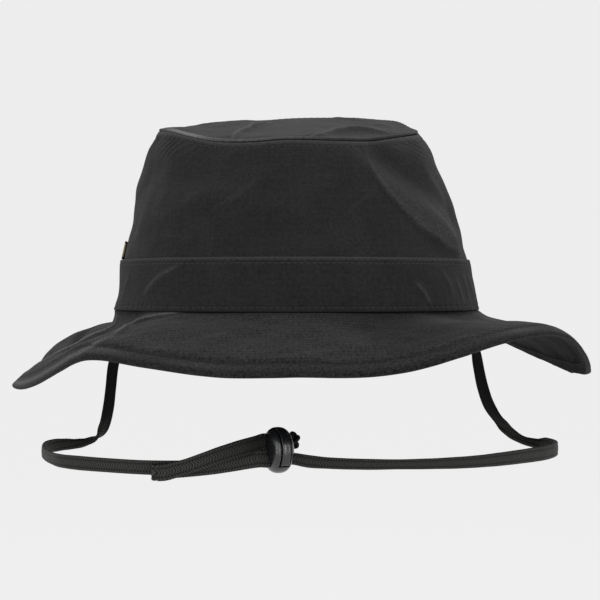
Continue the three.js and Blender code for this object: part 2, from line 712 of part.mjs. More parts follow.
const hat = new THREE.Group();
hat.add(piece('crown_wall', crownWall(), COTTON));
hat.add(piece('crown_top', crownTop(), COTTON));
hat.add(piece('crown_band', crownBand(), COTTON));
hat.add(piece('brim', ring(brimSection, AROUND_BRIM), COTTON));
hat.add(piece('side_label', sideLabel(), LABEL_WEAVE));
hat.add(piece('cord_left', cord(LEFT_ROUTE, CORD_STEPS.left), BRAID));
hat.add(piece('cord_right', cord(RIGHT_ROUTE, CORD_STEPS.right), BRAID));
hat.add(piece('cord_fold', cordFold(), BRAID));
hat.add(piece('cord_tail', cord(TAIL_ROUTE, CORD_STEPS.tail), BRAID));
hat.add(lockGroup());

export default hat;
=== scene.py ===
"""Looks of a soft angler hat: washed black ripstop cotton, a flat braided chin cord and a cord lock.

The frame is the part's own: metres, +Z up, the front of the hat towards -Y. Tables and sizes of cloth,
seams and cord are in millimetres, and angles round the hat in degrees from the front towards +X.
"""

import logging
import math
from dataclasses import dataclass, field
from enum import Enum

import bpy
import numpy as np
from numpy.typing import NDArray
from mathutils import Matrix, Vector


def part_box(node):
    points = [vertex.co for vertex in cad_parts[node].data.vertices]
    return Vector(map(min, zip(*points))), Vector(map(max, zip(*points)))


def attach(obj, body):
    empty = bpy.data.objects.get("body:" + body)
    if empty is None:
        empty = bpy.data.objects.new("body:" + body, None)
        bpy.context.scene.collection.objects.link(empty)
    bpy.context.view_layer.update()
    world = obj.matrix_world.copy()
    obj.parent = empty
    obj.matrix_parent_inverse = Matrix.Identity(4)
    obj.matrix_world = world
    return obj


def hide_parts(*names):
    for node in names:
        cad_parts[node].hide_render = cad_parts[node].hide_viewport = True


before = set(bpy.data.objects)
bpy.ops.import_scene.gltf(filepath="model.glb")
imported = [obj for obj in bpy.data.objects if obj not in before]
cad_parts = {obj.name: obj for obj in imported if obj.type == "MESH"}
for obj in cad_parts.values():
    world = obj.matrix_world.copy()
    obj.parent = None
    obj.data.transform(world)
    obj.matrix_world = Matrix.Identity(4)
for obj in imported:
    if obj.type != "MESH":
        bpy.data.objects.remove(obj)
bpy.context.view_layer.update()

Array = NDArray[np.float64]
Rows = tuple[tuple[float, ...], ...]
Values = dict[str, Array]
Object = bpy.types.Object
MM = 0.001
WEAR_WIDTH = 0.8
WEAR_GROWTH = 1.8
SWELL_POWER = 0.7
SWELL_END = 0.02
FRONT_CROWDING = 0.32
log = logging.getLogger("angler_hat")


# Tables and fields of numbers


def smooth(keys: Array, values: Array, at: Array) -> Array:
    """Gives values between the rows of a table on a smooth line.

    Between two rows the line is a cubic through both, and its slope at a row is that of the straight
    line between the row's two neighbours.

    Args:
        keys: rising keys, one for each row.
        values: the column's value in each row.
        at: keys at which values are wanted.

    Returns:
        The values, in the shape of at.
    """
    last = len(keys) - 1
    rows = np.arange(last + 1)
    before = np.maximum(rows - 1, 0)
    after = np.minimum(rows + 1, last)
    slopes = (values[after] - values[before]) / (keys[after] - keys[before])
    low = np.clip(np.searchsorted(keys, at, side="right") - 1, 0, last - 1)
    span = keys[low + 1] - keys[low]
    t = (at - keys[low]) / span
    start = (1 + 2 * t) * (1 - t) ** 2 * values[low] + t * (1 - t) ** 2 * span * slopes[low]
    end = t**2 * (3 - 2 * t) * values[low + 1] + t**2 * (t - 1) * span * slopes[low + 1]
    return start + end


def smooth_step(low: float, high: float, at: Array) -> Array:
    """Rises from 0 at low to 1 at high with level ends."""
    t = np.clip((at - low) / (high - low), 0, 1)
    return t * t * (3 - 2 * t)


def bell(away: Array, width: float | Array, power: float = 2) -> Array:
    """Falls from 1 at 0 as a bell, exp(-(away / width) ** power)."""
    return np.exp(-((away / width) ** power))


def unit(vectors: Array) -> Array:
    """Directions of vectors, whose parts run along the last axis."""
    return vectors / np.linalg.norm(vectors, axis=-1, keepdims=True)


def distances(line: Array) -> Array:
    """Distance gone along a line at each of its points."""
    return np.concatenate([[0], np.cumsum(np.linalg.norm(np.diff(line, axis=0), axis=1))])


def between_rows(at: Array, keys: Array, rows: Array) -> Array:
    """Straight-line values between rows of three numbers."""
    return np.stack([np.interp(at, keys, rows[:, i]) for i in range(3)], -1)


@dataclass(frozen=True)
class Table:
    """A short table with named columns, whose first column is its key."""

    columns: tuple[str, ...]
    rows: Rows

    def column(self, name: str) -> Array:
        """One column as an array."""
        return np.array([row[self.columns.index(name)] for row in self.rows], float)

    def along(self, name: str, at: Array) -> Array:
        """Smooth value of a column at keys."""
        return smooth(self.column(self.columns[0]), self.column(name), at)

    def around(self, name: str, angle: Array) -> Array:
        """Smooth value of a column round the hat, where the rows repeat after 360 degrees."""
        keys = self.column(self.columns[0])
        values = self.column(name)
        keys_round = np.concatenate([keys[-1:] - 360, keys, keys[:2] + 360])
        values_round = np.concatenate([values[-1:], values, values[:2]])
        return smooth(keys_round, values_round, keys[0] + (angle - keys[0]) % 360)


def ripples(points: Array, seed: int, shortest: float, longest: float, count: int = 20) -> Array:
    """Gives soft random relief: a sum of plane waves in random directions, about -1 to 1.

    Args:
        points: places in millimetres, last axis of length 3.
        seed: seed of the random directions, lengths and phases.
        shortest: shortest wavelength in millimetres.
        longest: longest wavelength in millimetres.
        count: number of waves.

    Returns:
        The relief at each place.
    """
    random = np.random.default_rng(seed)
    directions = unit(random.normal(size=(count, 3)))
    lengths = random.uniform(shortest, longest, count)
    phases = random.uniform(0, 2 * math.pi, count)
    turns = points @ (directions / lengths[:, None]).T
    return np.cos(2 * math.pi * turns + phases).sum(-1) / math.sqrt(2 * count)


@dataclass(frozen=True)
class Unevenness:
    """Soft unevenness of cloth: height, shortest and longest wave of a coarse and a fine set of ripples."""

    seed: int
    coarse: tuple[float, float, float]
    fine: tuple[float, float, float]

    def at(self, places: Array) -> Array:
        """Height at places in millimetres."""
        high, low = self.coarse, self.fine
        rough = high[0] * ripples(places, self.seed, *high[1:])
        return rough + low[0] * ripples(places, self.seed + 1, *low[1:])


@dataclass(frozen=True)
class Crease:
    """A fold line in cloth: a path in the cloth's plane, its height, a width on each side and its wear.

    A wear below 0 paints shade into the fold.
    """

    path: Rows
    rise: float
    left: float
    right: float
    wear_and_shade: float = 0.0
    rubbed_width: float = WEAR_WIDTH
    power: float = 1.6

    def press(self, x: Array, y: Array) -> tuple[Array, Array]:
        """Gives the height of the crease over the cloth, and how worn its crest is.

        The height falls off from the path as a bell whose width differs from side to side, and along
        the path it swells and fades as half a sine. A power under 2 makes the crest sharp. The wear is a
        narrow bell along the path, and where it is below 0 it is shade painted along the fold.

        Args:
            x: first coordinate in the cloth's plane, millimetres.
            y: second coordinate in the cloth's plane, millimetres.

        Returns:
            The height in millimetres and the wear, up to 1, at each place; below 0 it is painted shade.
        """
        corners = np.array(self.path, float)
        steps = np.diff(corners, axis=0)
        lengths = np.hypot(steps[:, 0], steps[:, 1])
        reached = np.concatenate([[0], np.cumsum(lengths)])
        nearest = np.full(x.shape, np.inf)
        travelled, side = np.zeros(x.shape), np.zeros(x.shape)
        for start, step, length, before in zip(corners, steps, lengths, reached):
            share = np.clip(((x - start[0]) * step[0] + (y - start[1]) * step[1]) / length**2, 0, 1)
            off_x = x - start[0] - share * step[0]
            off_y = y - start[1] - share * step[1]
            away = np.hypot(off_x, off_y)
            closer = away < nearest
            travelled = np.where(closer, (before + share * length) / reached[-1], travelled)
            side = np.where(closer, step[0] * off_y - step[1] * off_x, side)
            nearest = np.minimum(nearest, away)
        swell = np.sin(math.pi * np.clip(travelled, SWELL_END, 1 - SWELL_END)) ** SWELL_POWER
        width = np.where(side > 0, self.left, self.right)
        height = self.rise * swell * bell(nearest, width, self.power)
        rubbed = self.wear_and_shade * np.minimum(WEAR_GROWTH * swell, 1)
        return height, rubbed * bell(nearest, self.rubbed_width)


def pressed(creases: tuple[Crease, ...], x: Array, y: Array) -> tuple[Array, Array]:
    """Adds up the heights of creases and takes the wear that is furthest from 0 at each place."""
    height, wear_and_shade = np.zeros(x.shape), np.zeros(x.shape)
    for crease in creases:
        rise, rubbed = crease.press(x, y)
        height = height + rise
        wear_and_shade = np.where(np.abs(rubbed) > np.abs(wear_and_shade), rubbed, wear_and_shade)
    return height, wear_and_shade


# Meshes from arrays


def new_object(name: str, mesh: bpy.types.Mesh) -> Object:
    """Links a new object for a mesh."""
    made = bpy.data.objects.new(name, mesh)
    bpy.context.scene.collection.objects.link(made)
    return made


def mesh_object(
    name: str, points: Array, faces: list[Array], uv: Array | None = None, values: Values | None = None
) -> Object:
    """Makes a smooth-shaded mesh object from arrays.

    Args:
        name: name of the object.
        points: vertex places in metres, one row each.
        faces: arrays of vertex indices, a row for each face, all rows of an array of one length.
        uv: cloth coordinates in millimetres for each face corner, in the order of faces.
        values: named numbers for each vertex, which materials read as attributes.

    Returns:
        The new object, at the origin.
    """
    mesh = bpy.data.meshes.new(name)
    mesh.vertices.add(len(points))
    mesh.vertices.foreach_set("co", np.ascontiguousarray(points, np.float32).ravel())
    corners = np.concatenate([part.ravel() for part in faces]).astype(np.int32)
    sizes = np.concatenate([np.full(len(part), part.shape[1]) for part in faces])
    starts = np.concatenate([[0], np.cumsum(sizes)[:-1]]).astype(np.int32)
    mesh.loops.add(len(corners))
    mesh.loops.foreach_set("vertex_index", corners)
    mesh.polygons.add(len(sizes))
    mesh.polygons.foreach_set("loop_start", starts)
    mesh.update(calc_edges=True)
    if uv is not None:
        layer = mesh.uv_layers.new(name="cloth")
        layer.uv.foreach_set("vector", np.ascontiguousarray(uv, np.float32).ravel())
    for key, numbers in (values or {}).items():
        attribute = mesh.attributes.new(key, "FLOAT", "POINT")
        attribute.data.foreach_set("value", np.ascontiguousarray(numbers, np.float32).ravel())
    mesh.validate()
    mesh.shade_smooth()
    return new_object(name, mesh)


def grid_faces(rows: int, columns: int, loop_rows: bool, loop_columns: bool) -> tuple[Array, Array]:
    """Gives the four-cornered faces of a grid of vertices.

    Args:
        rows: rows of the grid.
        columns: columns of the grid.
        loop_rows: whether the last row joins the first.
        loop_columns: whether the last column joins the first.

    Returns:
        Vertex indices of each face, and its places in a cloth grid with one more row and column.
    """
    counts = np.arange(rows - 1 + loop_rows), np.arange(columns - 1 + loop_columns)
    i, j = (part.ravel()[:, None] for part in np.meshgrid(*counts, indexing="ij"))
    down = i + np.array([0, 0, 1, 1])
    across = j + np.array([0, 1, 1, 0])
    return (down % rows) * columns + across % columns, down * (columns + 1) + across


def fan(middle: int, ring: Array) -> Array:
    """Three-cornered faces between a middle vertex and a ring of vertices."""
    return np.stack([np.full(len(ring), middle), ring, np.roll(ring, -1)], -1)


def sin_cos(angle: Array) -> tuple[Array, Array]:
    """Sine and cosine of angles in degrees."""
    return np.sin(np.radians(angle)), np.cos(np.radians(angle))


def yawed(points: Array, degrees: float) -> Array:
    """Points turned about the upright axis."""
    s, c = math.sin(math.radians(degrees)), math.cos(math.radians(degrees))
    return points @ np.array([[c, -s, 0], [s, c, 0], [0, 0, 1]]).T


def closed_band(name: str, points: Array, uv: Array, values: Values) -> Object:
    """Makes a closed ring of cloth from its section at each angle.

    Args:
        name: name of the object.
        points: grid in millimetres, rows along the section's closed loop and columns round the hat.
        uv: cloth coordinates of that grid with one more row and column.
        values: named numbers for each grid point.

    Returns:
        The new object.
    """
    rows, columns = points.shape[:2]
    faces, places = grid_faces(rows, columns, True, True)
    corners = uv.reshape(-1, 2)[places.ravel()]
    return mesh_object(name, points.reshape(-1, 3) * MM, [faces], corners, values)


def around_hat(count: int) -> Array:
    """Even angles round the hat in degrees, from the back."""
    return -180 + 360 * np.arange(count) / count


def around_front(count: int) -> Array:
    """Angles round the hat in degrees, from the back, twice as close at the front as at the back."""
    even = around_hat(count)
    return even + FRONT_CROWDING * np.degrees(np.sin(-np.radians(even)))


# Finishes


def linear(colour: str) -> tuple[float, float, float, float]:
    """Turns an sRGB hex colour such as "#2a2a2a" to linear red, green, blue and alpha."""
    parts = [int(colour[i : i + 2], 16) / 255 for i in (1, 3, 5)]
    turned = [c / 12.92 if c <= 0.04045 else ((c + 0.055) / 1.055) ** 2.4 for c in parts]
    return (turned[0], turned[1], turned[2], 1.0)


WAVE_TURN = math.pi / 10
Socket = bpy.types.NodeSocket
Material = bpy.types.Material
Ends = tuple[float, float]


class Nodes:
    """A new material with short ways to add its nodes, each of which gives the new node's output."""

    def __init__(self, name: str) -> None:
        """Makes the material with an empty node tree."""
        self.material = bpy.data.materials.new(name)
        self.material.use_nodes = True
        self.tree = self.material.node_tree
        self.tree.nodes.clear()

    def add(
        self, kind: str, inputs: dict[str | int, object], output: str | int = 0, **settings: object
    ) -> Socket:
        """Adds a node.

        Args:
            kind: the node's type name after "ShaderNode".
            inputs: what goes into it: constants, and sockets to be linked.
            output: the wanted output.
            **settings: the node's own properties.

        Returns:
            The wanted output.
        """
        node = self.tree.nodes.new("ShaderNode" + kind)
        for key, value in settings.items():
            setattr(node, key, value)
        for key, value in inputs.items():
            if isinstance(value, Socket):
                self.tree.links.new(value, node.inputs[key])
            else:
                node.inputs[key].default_value = value
        return node.outputs[output]

    def cloth(self) -> Socket:
        """Cloth coordinates in millimetres."""
        return self.add("UVMap", {}, uv_map="cloth")

    def cloth_part(self, axis: str) -> Socket:
        """One of the two cloth coordinates."""
        return self.add("SeparateXYZ", {0: self.cloth()}, axis)

    def place(self) -> Socket:
        """Coordinates of the object in metres."""
        return self.add("TexCoord", {}, "Object")

    def attribute(self, name: str) -> Socket:
        """A number that the mesh holds at each vertex."""
        return self.add("Attribute", {}, "Fac", attribute_name=name)

    def math(self, operation: str, *values: float | Socket, clamp: bool = False) -> Socket:
        """Result of a sum with one to three values."""
        return self.add("Math", dict(enumerate(values)), operation=operation, use_clamp=clamp)

    def remap(self, value: Socket, start: Ends, end: Ends = (0.0, 1.0), **settings: str) -> Socket:
        """A number moved from one range to another and held at its ends."""
        ends = {"From Min": start[0], "From Max": start[1], "To Min": end[0], "To Max": end[1]}
        return self.add("MapRange", {"Value": value, **ends}, **settings)

    def noise(self, place: Socket, size: float, detail: float, **more: float) -> Socket:
        """Cloudy noise with clouds of about the given size."""
        inputs = {"Vector": place, "Scale": 1 / size, "Detail": detail}
        return self.add("TexNoise", inputs | {key.capitalize(): value for key, value in more.items()}, "Fac")

    def bands(self, width: float, axis: str, distortion: float, **more: float) -> Socket:
        """Bands across one cloth coordinate, of the given width."""
        inputs = {"Vector": self.cloth(), "Scale": WAVE_TURN / width, "Distortion": distortion}
        inputs |= {key.replace("_", " ").title(): value for key, value in more.items()}
        return self.add("TexWave", inputs, "Fac", wave_type="BANDS", bands_direction=axis)

    def mix(self, share: Socket, low: str | Socket, high: str | Socket) -> Socket:
        """A mix of two colours, each a hex text or a socket."""
        a, b = (linear(end) if isinstance(end, str) else end for end in (low, high))
        return self.add("Mix", {0: share, "A": a, "B": b}, 2, data_type="RGBA")

    def scaled(self, colour: object, share: Socket) -> Socket:
        """A colour made lighter or darker."""
        return self.add("VectorMath", {0: colour, "Scale": share}, operation="SCALE")

    def finish(
        self, colour: object, height: Socket, strength: float, depth: float, **more: object
    ) -> Material:
        """Adds the shader with its bump and closes the tree.

        Args:
            colour: base colour.
            height: height of the bump, which is scaled to its depth.
            strength: strength of the bump.
            depth: depth of the bump in millimetres.
            **more: further inputs of the shader, with _ for a space.

        Returns:
            The material.
        """
        bump = self.add("Bump", {"Strength": strength, "Distance": depth * MM, "Height": height})
        inputs = {key.replace("_", " "): value for key, value in more.items()}
        return self.close(self.add("BsdfPrincipled", {"Base Color": colour, "Normal": bump, **inputs}))

    def close(self, shader: Socket) -> Material:
        """Links the shader to the material's output and gives the material."""
        end = self.tree.nodes.new("ShaderNodeOutputMaterial")
        self.tree.links.new(shader, end.inputs["Surface"])
        return self.material


@dataclass(frozen=True)
class RipstopCotton:
    """Cotton ripstop, dyed black and garment-washed.

    It gives the eye a dull black cloth with a heathered grain, a faint grid of heavier threads, slow
    fading from the wash, darker cloth inside, shade painted in that dark colour with less sheen into
    fold valleys and hollows, and paler threads where seams, hems and folds have rubbed. The grain of
    the real yarns is finer, and is drawn as coarse as the eye can still see it.
    """

    name: str = "washed_cotton_ripstop"
    colour: str = "#1d1d1d"
    faded: str = "#232323"
    # Dark colour of inner faces, also painted into fold valleys and hollows as shade.
    inside: str = "#161616"
    rubbed: str = "#717170"
    thread: float = 0.9
    grain: float = 1.5
    contrast: float = 0.34
    grid: float = 5.0
    grid_thread: float = 0.5
    grid_lift: float = 0.14
    cloud: float = 16 * MM
    roughness: float = 0.95
    specular: float = 0.10
    sheen: float = 0.05
    kept_sheen: float = 0.4

    def fibres(self, nodes: Nodes) -> tuple[Socket, Socket, Socket]:
        """Adds the weave, the ripstop grid and the grain of its uneven yarns.

        The weave's threads are drawn 0.9 mm wide where the real ones are about 0.4 mm, so that they show.

        Args:
            nodes: the material's nodes.

        Returns:
            The weave, the grid and the grain.
        """
        threads, bars = [], []
        for axis in ("X", "Y"):
            threads.append(nodes.bands(self.thread, axis, 1.2, detail=1.0, detail_scale=2.0))
            away = nodes.math("PINGPONG", nodes.cloth_part(axis), self.grid / 2)
            bar = nodes.remap(away, (0.0, self.grid_thread), (1.0, 0.0), interpolation_type="SMOOTHSTEP")
            bars.append(bar)
        grain = nodes.noise(nodes.cloth(), self.grain, 2.0, roughness=0.8, distortion=0.4)
        return nodes.math("ADD", *threads), nodes.math("MAXIMUM", *bars), grain

    def build(self) -> Material:
        """Builds the material from its fibres, the wash's slow fading, and the mesh's worn threads and
        painted shade.
        """
        nodes = Nodes(self.name)
        weave, grid, grain = self.fibres(nodes)
        wear_and_shade = nodes.attribute("wear_and_shade")
        wash = nodes.noise(nodes.place(), self.cloud, 3.0, roughness=0.6)
        washed = nodes.mix(nodes.remap(wash, (0.3, 0.7)), self.colour, self.faded)
        broken = nodes.remap(grain, (0.35, 0.65), (0.42, 0.7))
        rubbed = nodes.math("MULTIPLY", wear_and_shade, broken, clamp=True)
        # Inner faces take the inside colour with less sheen, and so do places where painted shade makes the
        # wear below 0.
        dark = nodes.math("SUBTRACT", nodes.attribute("inside"), wear_and_shade, clamp=True)
        nap = nodes.remap(dark, (0.0, 1.0), (self.sheen, self.sheen * self.kept_sheen))
        shown = nodes.mix(dark, washed, self.inside)
        shade = nodes.remap(grain, (0.3, 0.7), (1 - self.contrast, 1 + self.contrast))
        grained = nodes.scaled(shown, nodes.math("MULTIPLY_ADD", grid, self.grid_lift, shade))
        relief = nodes.math("MULTIPLY_ADD", grid, 0.5, weave)
        return nodes.finish(
            nodes.mix(rubbed, grained, self.rubbed),
            nodes.math("MULTIPLY_ADD", grain, 3.0, relief),
            strength=0.8,
            depth=0.08,
            Roughness=self.roughness,
            Specular_IOR_Level=self.specular,
            Sheen_Roughness=0.5,
            Sheen_Weight=nap,
        )


@dataclass(frozen=True)
class SpunThread:
    """Spun polyester sewing thread, a little glossier than the cloth, so that stitches catch light."""

    name: str = "spun_polyester_thread"
    colour: str = "#313131"
    roughness: float = 0.7
    specular: float = 0.25

    def build(self) -> Material:
        """Builds the material: fine fuzz of the spun fibres over a dark thread."""
        nodes = Nodes(self.name)
        fuzz = nodes.noise(nodes.place(), 0.3 * MM, 2.0)
        colour = nodes.scaled(linear(self.colour)[:3], nodes.remap(fuzz, (0.2, 0.8), (0.6, 1.3)))
        gloss = {"Roughness": self.roughness, "Specular_IOR_Level": self.specular}
        return nodes.finish(colour, fuzz, strength=0.6, depth=0.05, **gloss)


@dataclass(frozen=True)
class PolyesterBraid:
    """Flat braided polyester cord: slanted plaits in lanes side by side, shining softly over black gaps.

    The cord is greenish grey where it hangs low; higher up, under the brim, shade is painted into
    its colour. A plait is drawn 1.2 mm long where the real one is about 0.9 mm, so that it shows.
    """

    # The first pair is the braid with shade painted in, for the cord up under the brim; the second pair is
    # its colour low down.
    gap: str = "#020202"
    plait: str = "#121211"
    lit_gap: str = "#040404"
    lit_plait: str = "#3b3c39"
    pitch: float = 1.2
    slant: float = 0.9
    uneven: float = 0.9
    roughness: float = 0.6
    specular: float = 0.12

    def plaits(self, nodes: Nodes) -> Socket:
        """Adds a sine along the cord whose phase moves to and fro across each lane: slanted plaits."""
        swing = nodes.math("PINGPONG", nodes.cloth_part("Y"), 1.0)
        slanted = nodes.math("MULTIPLY_ADD", swing, self.slant * self.pitch, nodes.cloth_part("X"))
        cloud = nodes.noise(nodes.cloth(), 1 / 0.6, 2.0)
        moved = nodes.math("MULTIPLY_ADD", cloud, self.uneven, slanted)
        turned = nodes.math("MULTIPLY", moved, 2 * math.pi / self.pitch)
        return nodes.remap(nodes.math("SINE", turned), (-1.0, 0.6), (0.12, 1.0))

    def build(self) -> Material:
        """Builds the material; the lanes' relief is in the mesh, and the plaits are colour and bump."""
        nodes = Nodes("braided_polyester_cord")
        height = nodes.math("MULTIPLY", nodes.attribute("strand"), self.plaits(nodes))
        dark = nodes.mix(height, self.gap, self.plait)
        faded = nodes.mix(height, self.lit_gap, self.lit_plait)
        # Goes from painted shade high up to the cord's own colour low down.
        colour = nodes.mix(nodes.attribute("fade"), dark, faded)
        gloss = {"Roughness": self.roughness, "Specular_IOR_Level": self.specular}
        return nodes.finish(colour, height, strength=0.6, depth=0.12, **gloss)


@dataclass(frozen=True)
class MouldedAcetal:
    """Injection-moulded acetal, black and polished by the mould, with long soft highlights."""

    colour: str = "#131416"
    roughness: float = 0.22
    uneven: float = 0.08
    refraction: float = 1.65

    def build(self) -> Material:
        """Builds the material, with the faint unevenness of the mould in its gloss."""
        nodes = Nodes("moulded_black_acetal")
        flow = nodes.noise(nodes.place(), 2.5 * MM, 4.0, roughness=0.6)
        gloss = nodes.remap(flow, (0.3, 0.7), (self.roughness, self.roughness + self.uneven))
        more = {"IOR": self.refraction, "Roughness": gloss}
        return nodes.finish(linear(self.colour), flow, strength=0.15, depth=0.05, **more)


@dataclass(frozen=True)
class WovenLabel:
    """Satin-woven polyester label, bare: tan with a dark border, and ribs across it."""

    ground: str = "#8a7d64"
    border: str = "#241f1a"
    rib: float = 0.45
    border_from: float = 1.4
    border_soft: float = 0.14

    def build(self) -> Material:
        """Builds the material from the label's cloth coordinates: ribs, and a border at each long edge."""
        nodes = Nodes("satin_woven_label")
        ribs = nodes.bands(self.rib, "X", 0.4)
        across = nodes.math("ABSOLUTE", nodes.cloth_part("Y"))
        edge = nodes.remap(across, (self.border_from, self.border_from + self.border_soft))
        colour = nodes.mix(edge, self.ground, self.border)
        return nodes.finish(colour, ribs, strength=0.6, depth=0.08, Roughness=0.7, Sheen_Weight=0.1)


class Slot(Enum):
    """Names of material slots."""

    CLOTH = "cotton_ripstop"
    LABEL = "label_weave"
    BRAID = "cord_braid"
    PLASTIC = "lock_plastic"


class Body(Enum):
    """The rigid bodies that pieces ride on."""

    HAT = "hat"
    BUTTON = "lock_button"


def dress(
    piece: Object,
    finish: Material,
    body: Body = Body.HAT,
    stands_for: tuple[str, ...] = (),
) -> Object:
    """Gives a piece its finish and body, and hides the nodes that it stands for.

    Args:
        piece: the finished mesh object.
        finish: its material.
        body: the body that it rides on.
        stands_for: nodes that it replaces.

    Returns:
        The piece.
    """
    piece.data.materials.append(finish)
    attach(piece, body.value)
    if stands_for:
        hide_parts(*stands_for)
    log.info("%s: %d faces", piece.name, len(piece.data.polygons))
    return piece


# Studio


@dataclass
class Studio:
    """Pale seamless sweep, even white surroundings and soft boxes, with the camera level at the front."""

    floor_height: float = -0.30
    inner_radius: float = 0.3
    wall_rise: float = 2.6
    wall_radius: float = 3.0
    flat_radius: float = 1.7
    bend_radius: float = 1.3
    pale: float = 0.8
    paint: tuple[float, ...] = (0.06, 0.06, 0.06, 1)
    glow: float = 0.797
    camera_back: float = 0.842
    camera_height: float = 0.010
    focal_px: float = 1798.0
    middle_px: tuple[float, float] = (296.5, 288.0)
    image_px: int = 600
    sensor_mm: float = 36.0

    def build_camera(self) -> None:
        """Makes the camera: level, in front of the hat, with the small shift of the picture's framing."""
        lens = bpy.data.cameras.new("front_camera")
        lens.sensor_width = self.sensor_mm
        lens.lens = self.focal_px * self.sensor_mm / self.image_px
        lens.shift_x = (self.image_px / 2 - self.middle_px[0]) / self.image_px
        lens.shift_y = (self.middle_px[1] - self.image_px / 2) / self.image_px
        lens.clip_start, lens.clip_end = 0.05, 50
        camera = bpy.data.objects.new("front_camera", lens)
        camera.location = (0, -self.camera_back, self.camera_height)
        camera.rotation_euler = (math.radians(90), 0, 0)
        bpy.context.scene.collection.objects.link(camera)
        bpy.context.scene.camera = camera

    def build_sweep(self) -> None:
        """Makes the floor: level in the middle, and bent up to a wall all round by a quarter circle.

        It is clear from behind, so that the hat can also be seen from below.
        """
        turn = np.linspace(0, math.pi / 2, 13)
        bend, rise = self.bend_radius * np.sin(turn), self.bend_radius * (1 - np.cos(turn))
        radius = np.concatenate([[self.inner_radius], self.flat_radius + bend, [self.wall_radius]])
        rise = np.concatenate([[0], rise, [self.wall_rise]])
        angle = np.linspace(0, 2 * math.pi, 96, endpoint=False)
        radius, rise = radius[:, None], rise[:, None]
        level = self.floor_height + rise + 0 * angle
        points = np.stack([radius * np.cos(angle), radius * np.sin(angle), level], -1)
        rows, columns = points.shape[:2]
        faces, _ = grid_faces(rows, columns, False, True)
        places = np.vstack([points.reshape(-1, 3), [[0, 0, self.floor_height]]])
        cap = fan(rows * columns, np.arange(columns))
        floor = mesh_object("pale_sweep", places, [faces[:, ::-1], cap])
        nodes = Nodes("matt_painted_sweep")
        paint = {"Base Color": self.paint, "Roughness": 1.0, "Specular IOR Level": 0.0}
        paint |= {"Emission Color": (1, 1, 1, 1), "Emission Strength": self.glow}
        behind = nodes.add("NewGeometry", {}, "Backfacing")
        sides = {1: nodes.add("BsdfPrincipled", paint), 2: nodes.add("BsdfTransparent", {})}
        floor.data.materials.append(nodes.close(nodes.add("MixShader", {0: behind, **sides})))

    def build_lights(self) -> None:
        """Makes the even surroundings and the soft boxes."""
        world = bpy.data.worlds.new("white_room")
        bpy.context.scene.world = world
        world.use_nodes = True
        room = world.node_tree.nodes["Background"].inputs
        room["Color"].default_value = (1, 1, 1, 1)
        room["Strength"].default_value = self.pale
        boxes = (
            ("back_box", (0.0, 0.95, 1.2), (1.3, 1.3), 8.4),
            ("left_box", (-1.25, -0.75, 0.15), (0.14, 2.2), 5.0),
            ("right_box", (1.25, -0.75, 0.15), (0.14, 2.2), 4.1),
            ("left_strip", (-0.55, -1.05, 0.1), (0.05, 0.8), 2.0),
            ("right_strip", (0.64, -1.02, 0.1), (0.05, 0.8), 2.0),
        )
        scene = bpy.context.scene
        for name, place, size, power in boxes:
            light = bpy.data.lights.new(name, "AREA")
            light.shape = "RECTANGLE"
            light.size, light.size_y = size
            light.energy = power
            made = bpy.data.objects.new(name, light)
            made.location = place
            towards = -np.array(place)
            flat = math.hypot(towards[0], towards[1])
            tip = math.atan2(flat, -towards[2])
            made.rotation_euler = (tip, 0, math.atan2(-towards[0], towards[1]))
            scene.collection.objects.link(made)

    def build(self) -> None:
        """Builds the camera, the sweep and the lights."""
        self.build_camera()
        self.build_sweep()
        self.build_lights()
        bpy.context.scene.view_settings.view_transform = "Standard"


# Chin cord

# Rows are points of the cord's middle line, with the direction of its broad side and its width
LEFT_ROUTE = (
    (-78.4, 2, 8, 0, 1, 0, 5.2), (-80.0, 2, 0, 0, 1, 0, 5.2), (-81.4, 2, -8, 0.15, 1, 0, 5.2),
    (-83.8, 1.5, -17, 0.6, 0.8, 0, 5.3), (-86.0, 1, -27, 0.95, 0.3, 0, 5.4),
    (-87.0, 0, -37, 0.97, 0.25, 0, 5.3), (-88.0, -1, -46, 0.97, 0.25, 0, 5.5),
    (-89.9, -2, -54.5, 0.85, 0.5, 0.1, 5.5), (-92.8, -3, -59.3, 0.5, 0.75, 0.4, 5.1),
    (-97.5, -4.5, -61.5, 0.15, 0.85, 0.5, 4.9), (-102, -6.5, -62.3, 0, 0.6, 0.8, 5.0),
    (-107, -9, -62.4, 0, 0.25, 0.97, 5.6), (-110.9, -14, -62.4, 0, 0, 1, 6.2),
    (-113.4, -24, -62.4, 0, 0, 1, 6.2), (-112.8, -40, -62.4, 0, 0, 1, 5.6),
    (-109.6, -58, -62.4, 0, 0, 1, 5.2), (-104.4, -76, -62.4, 0, 0, 1, 5.3),
    (-98.5, -89, -62.4, 0, 0, 1, 5.9), (-90, -98, -62.4, 0, 0, 1, 6.2), (-78, -106, -62.5, 0, 0, 1, 6.1),
    (-64, -112.4, -62.7, 0, 0, 1, 6.1), (-55, -114.0, -62.8, 0, 0, 1, 6.2),
    (-46, -114.0, -62.8, 0, 0, 1, 6.2),
)
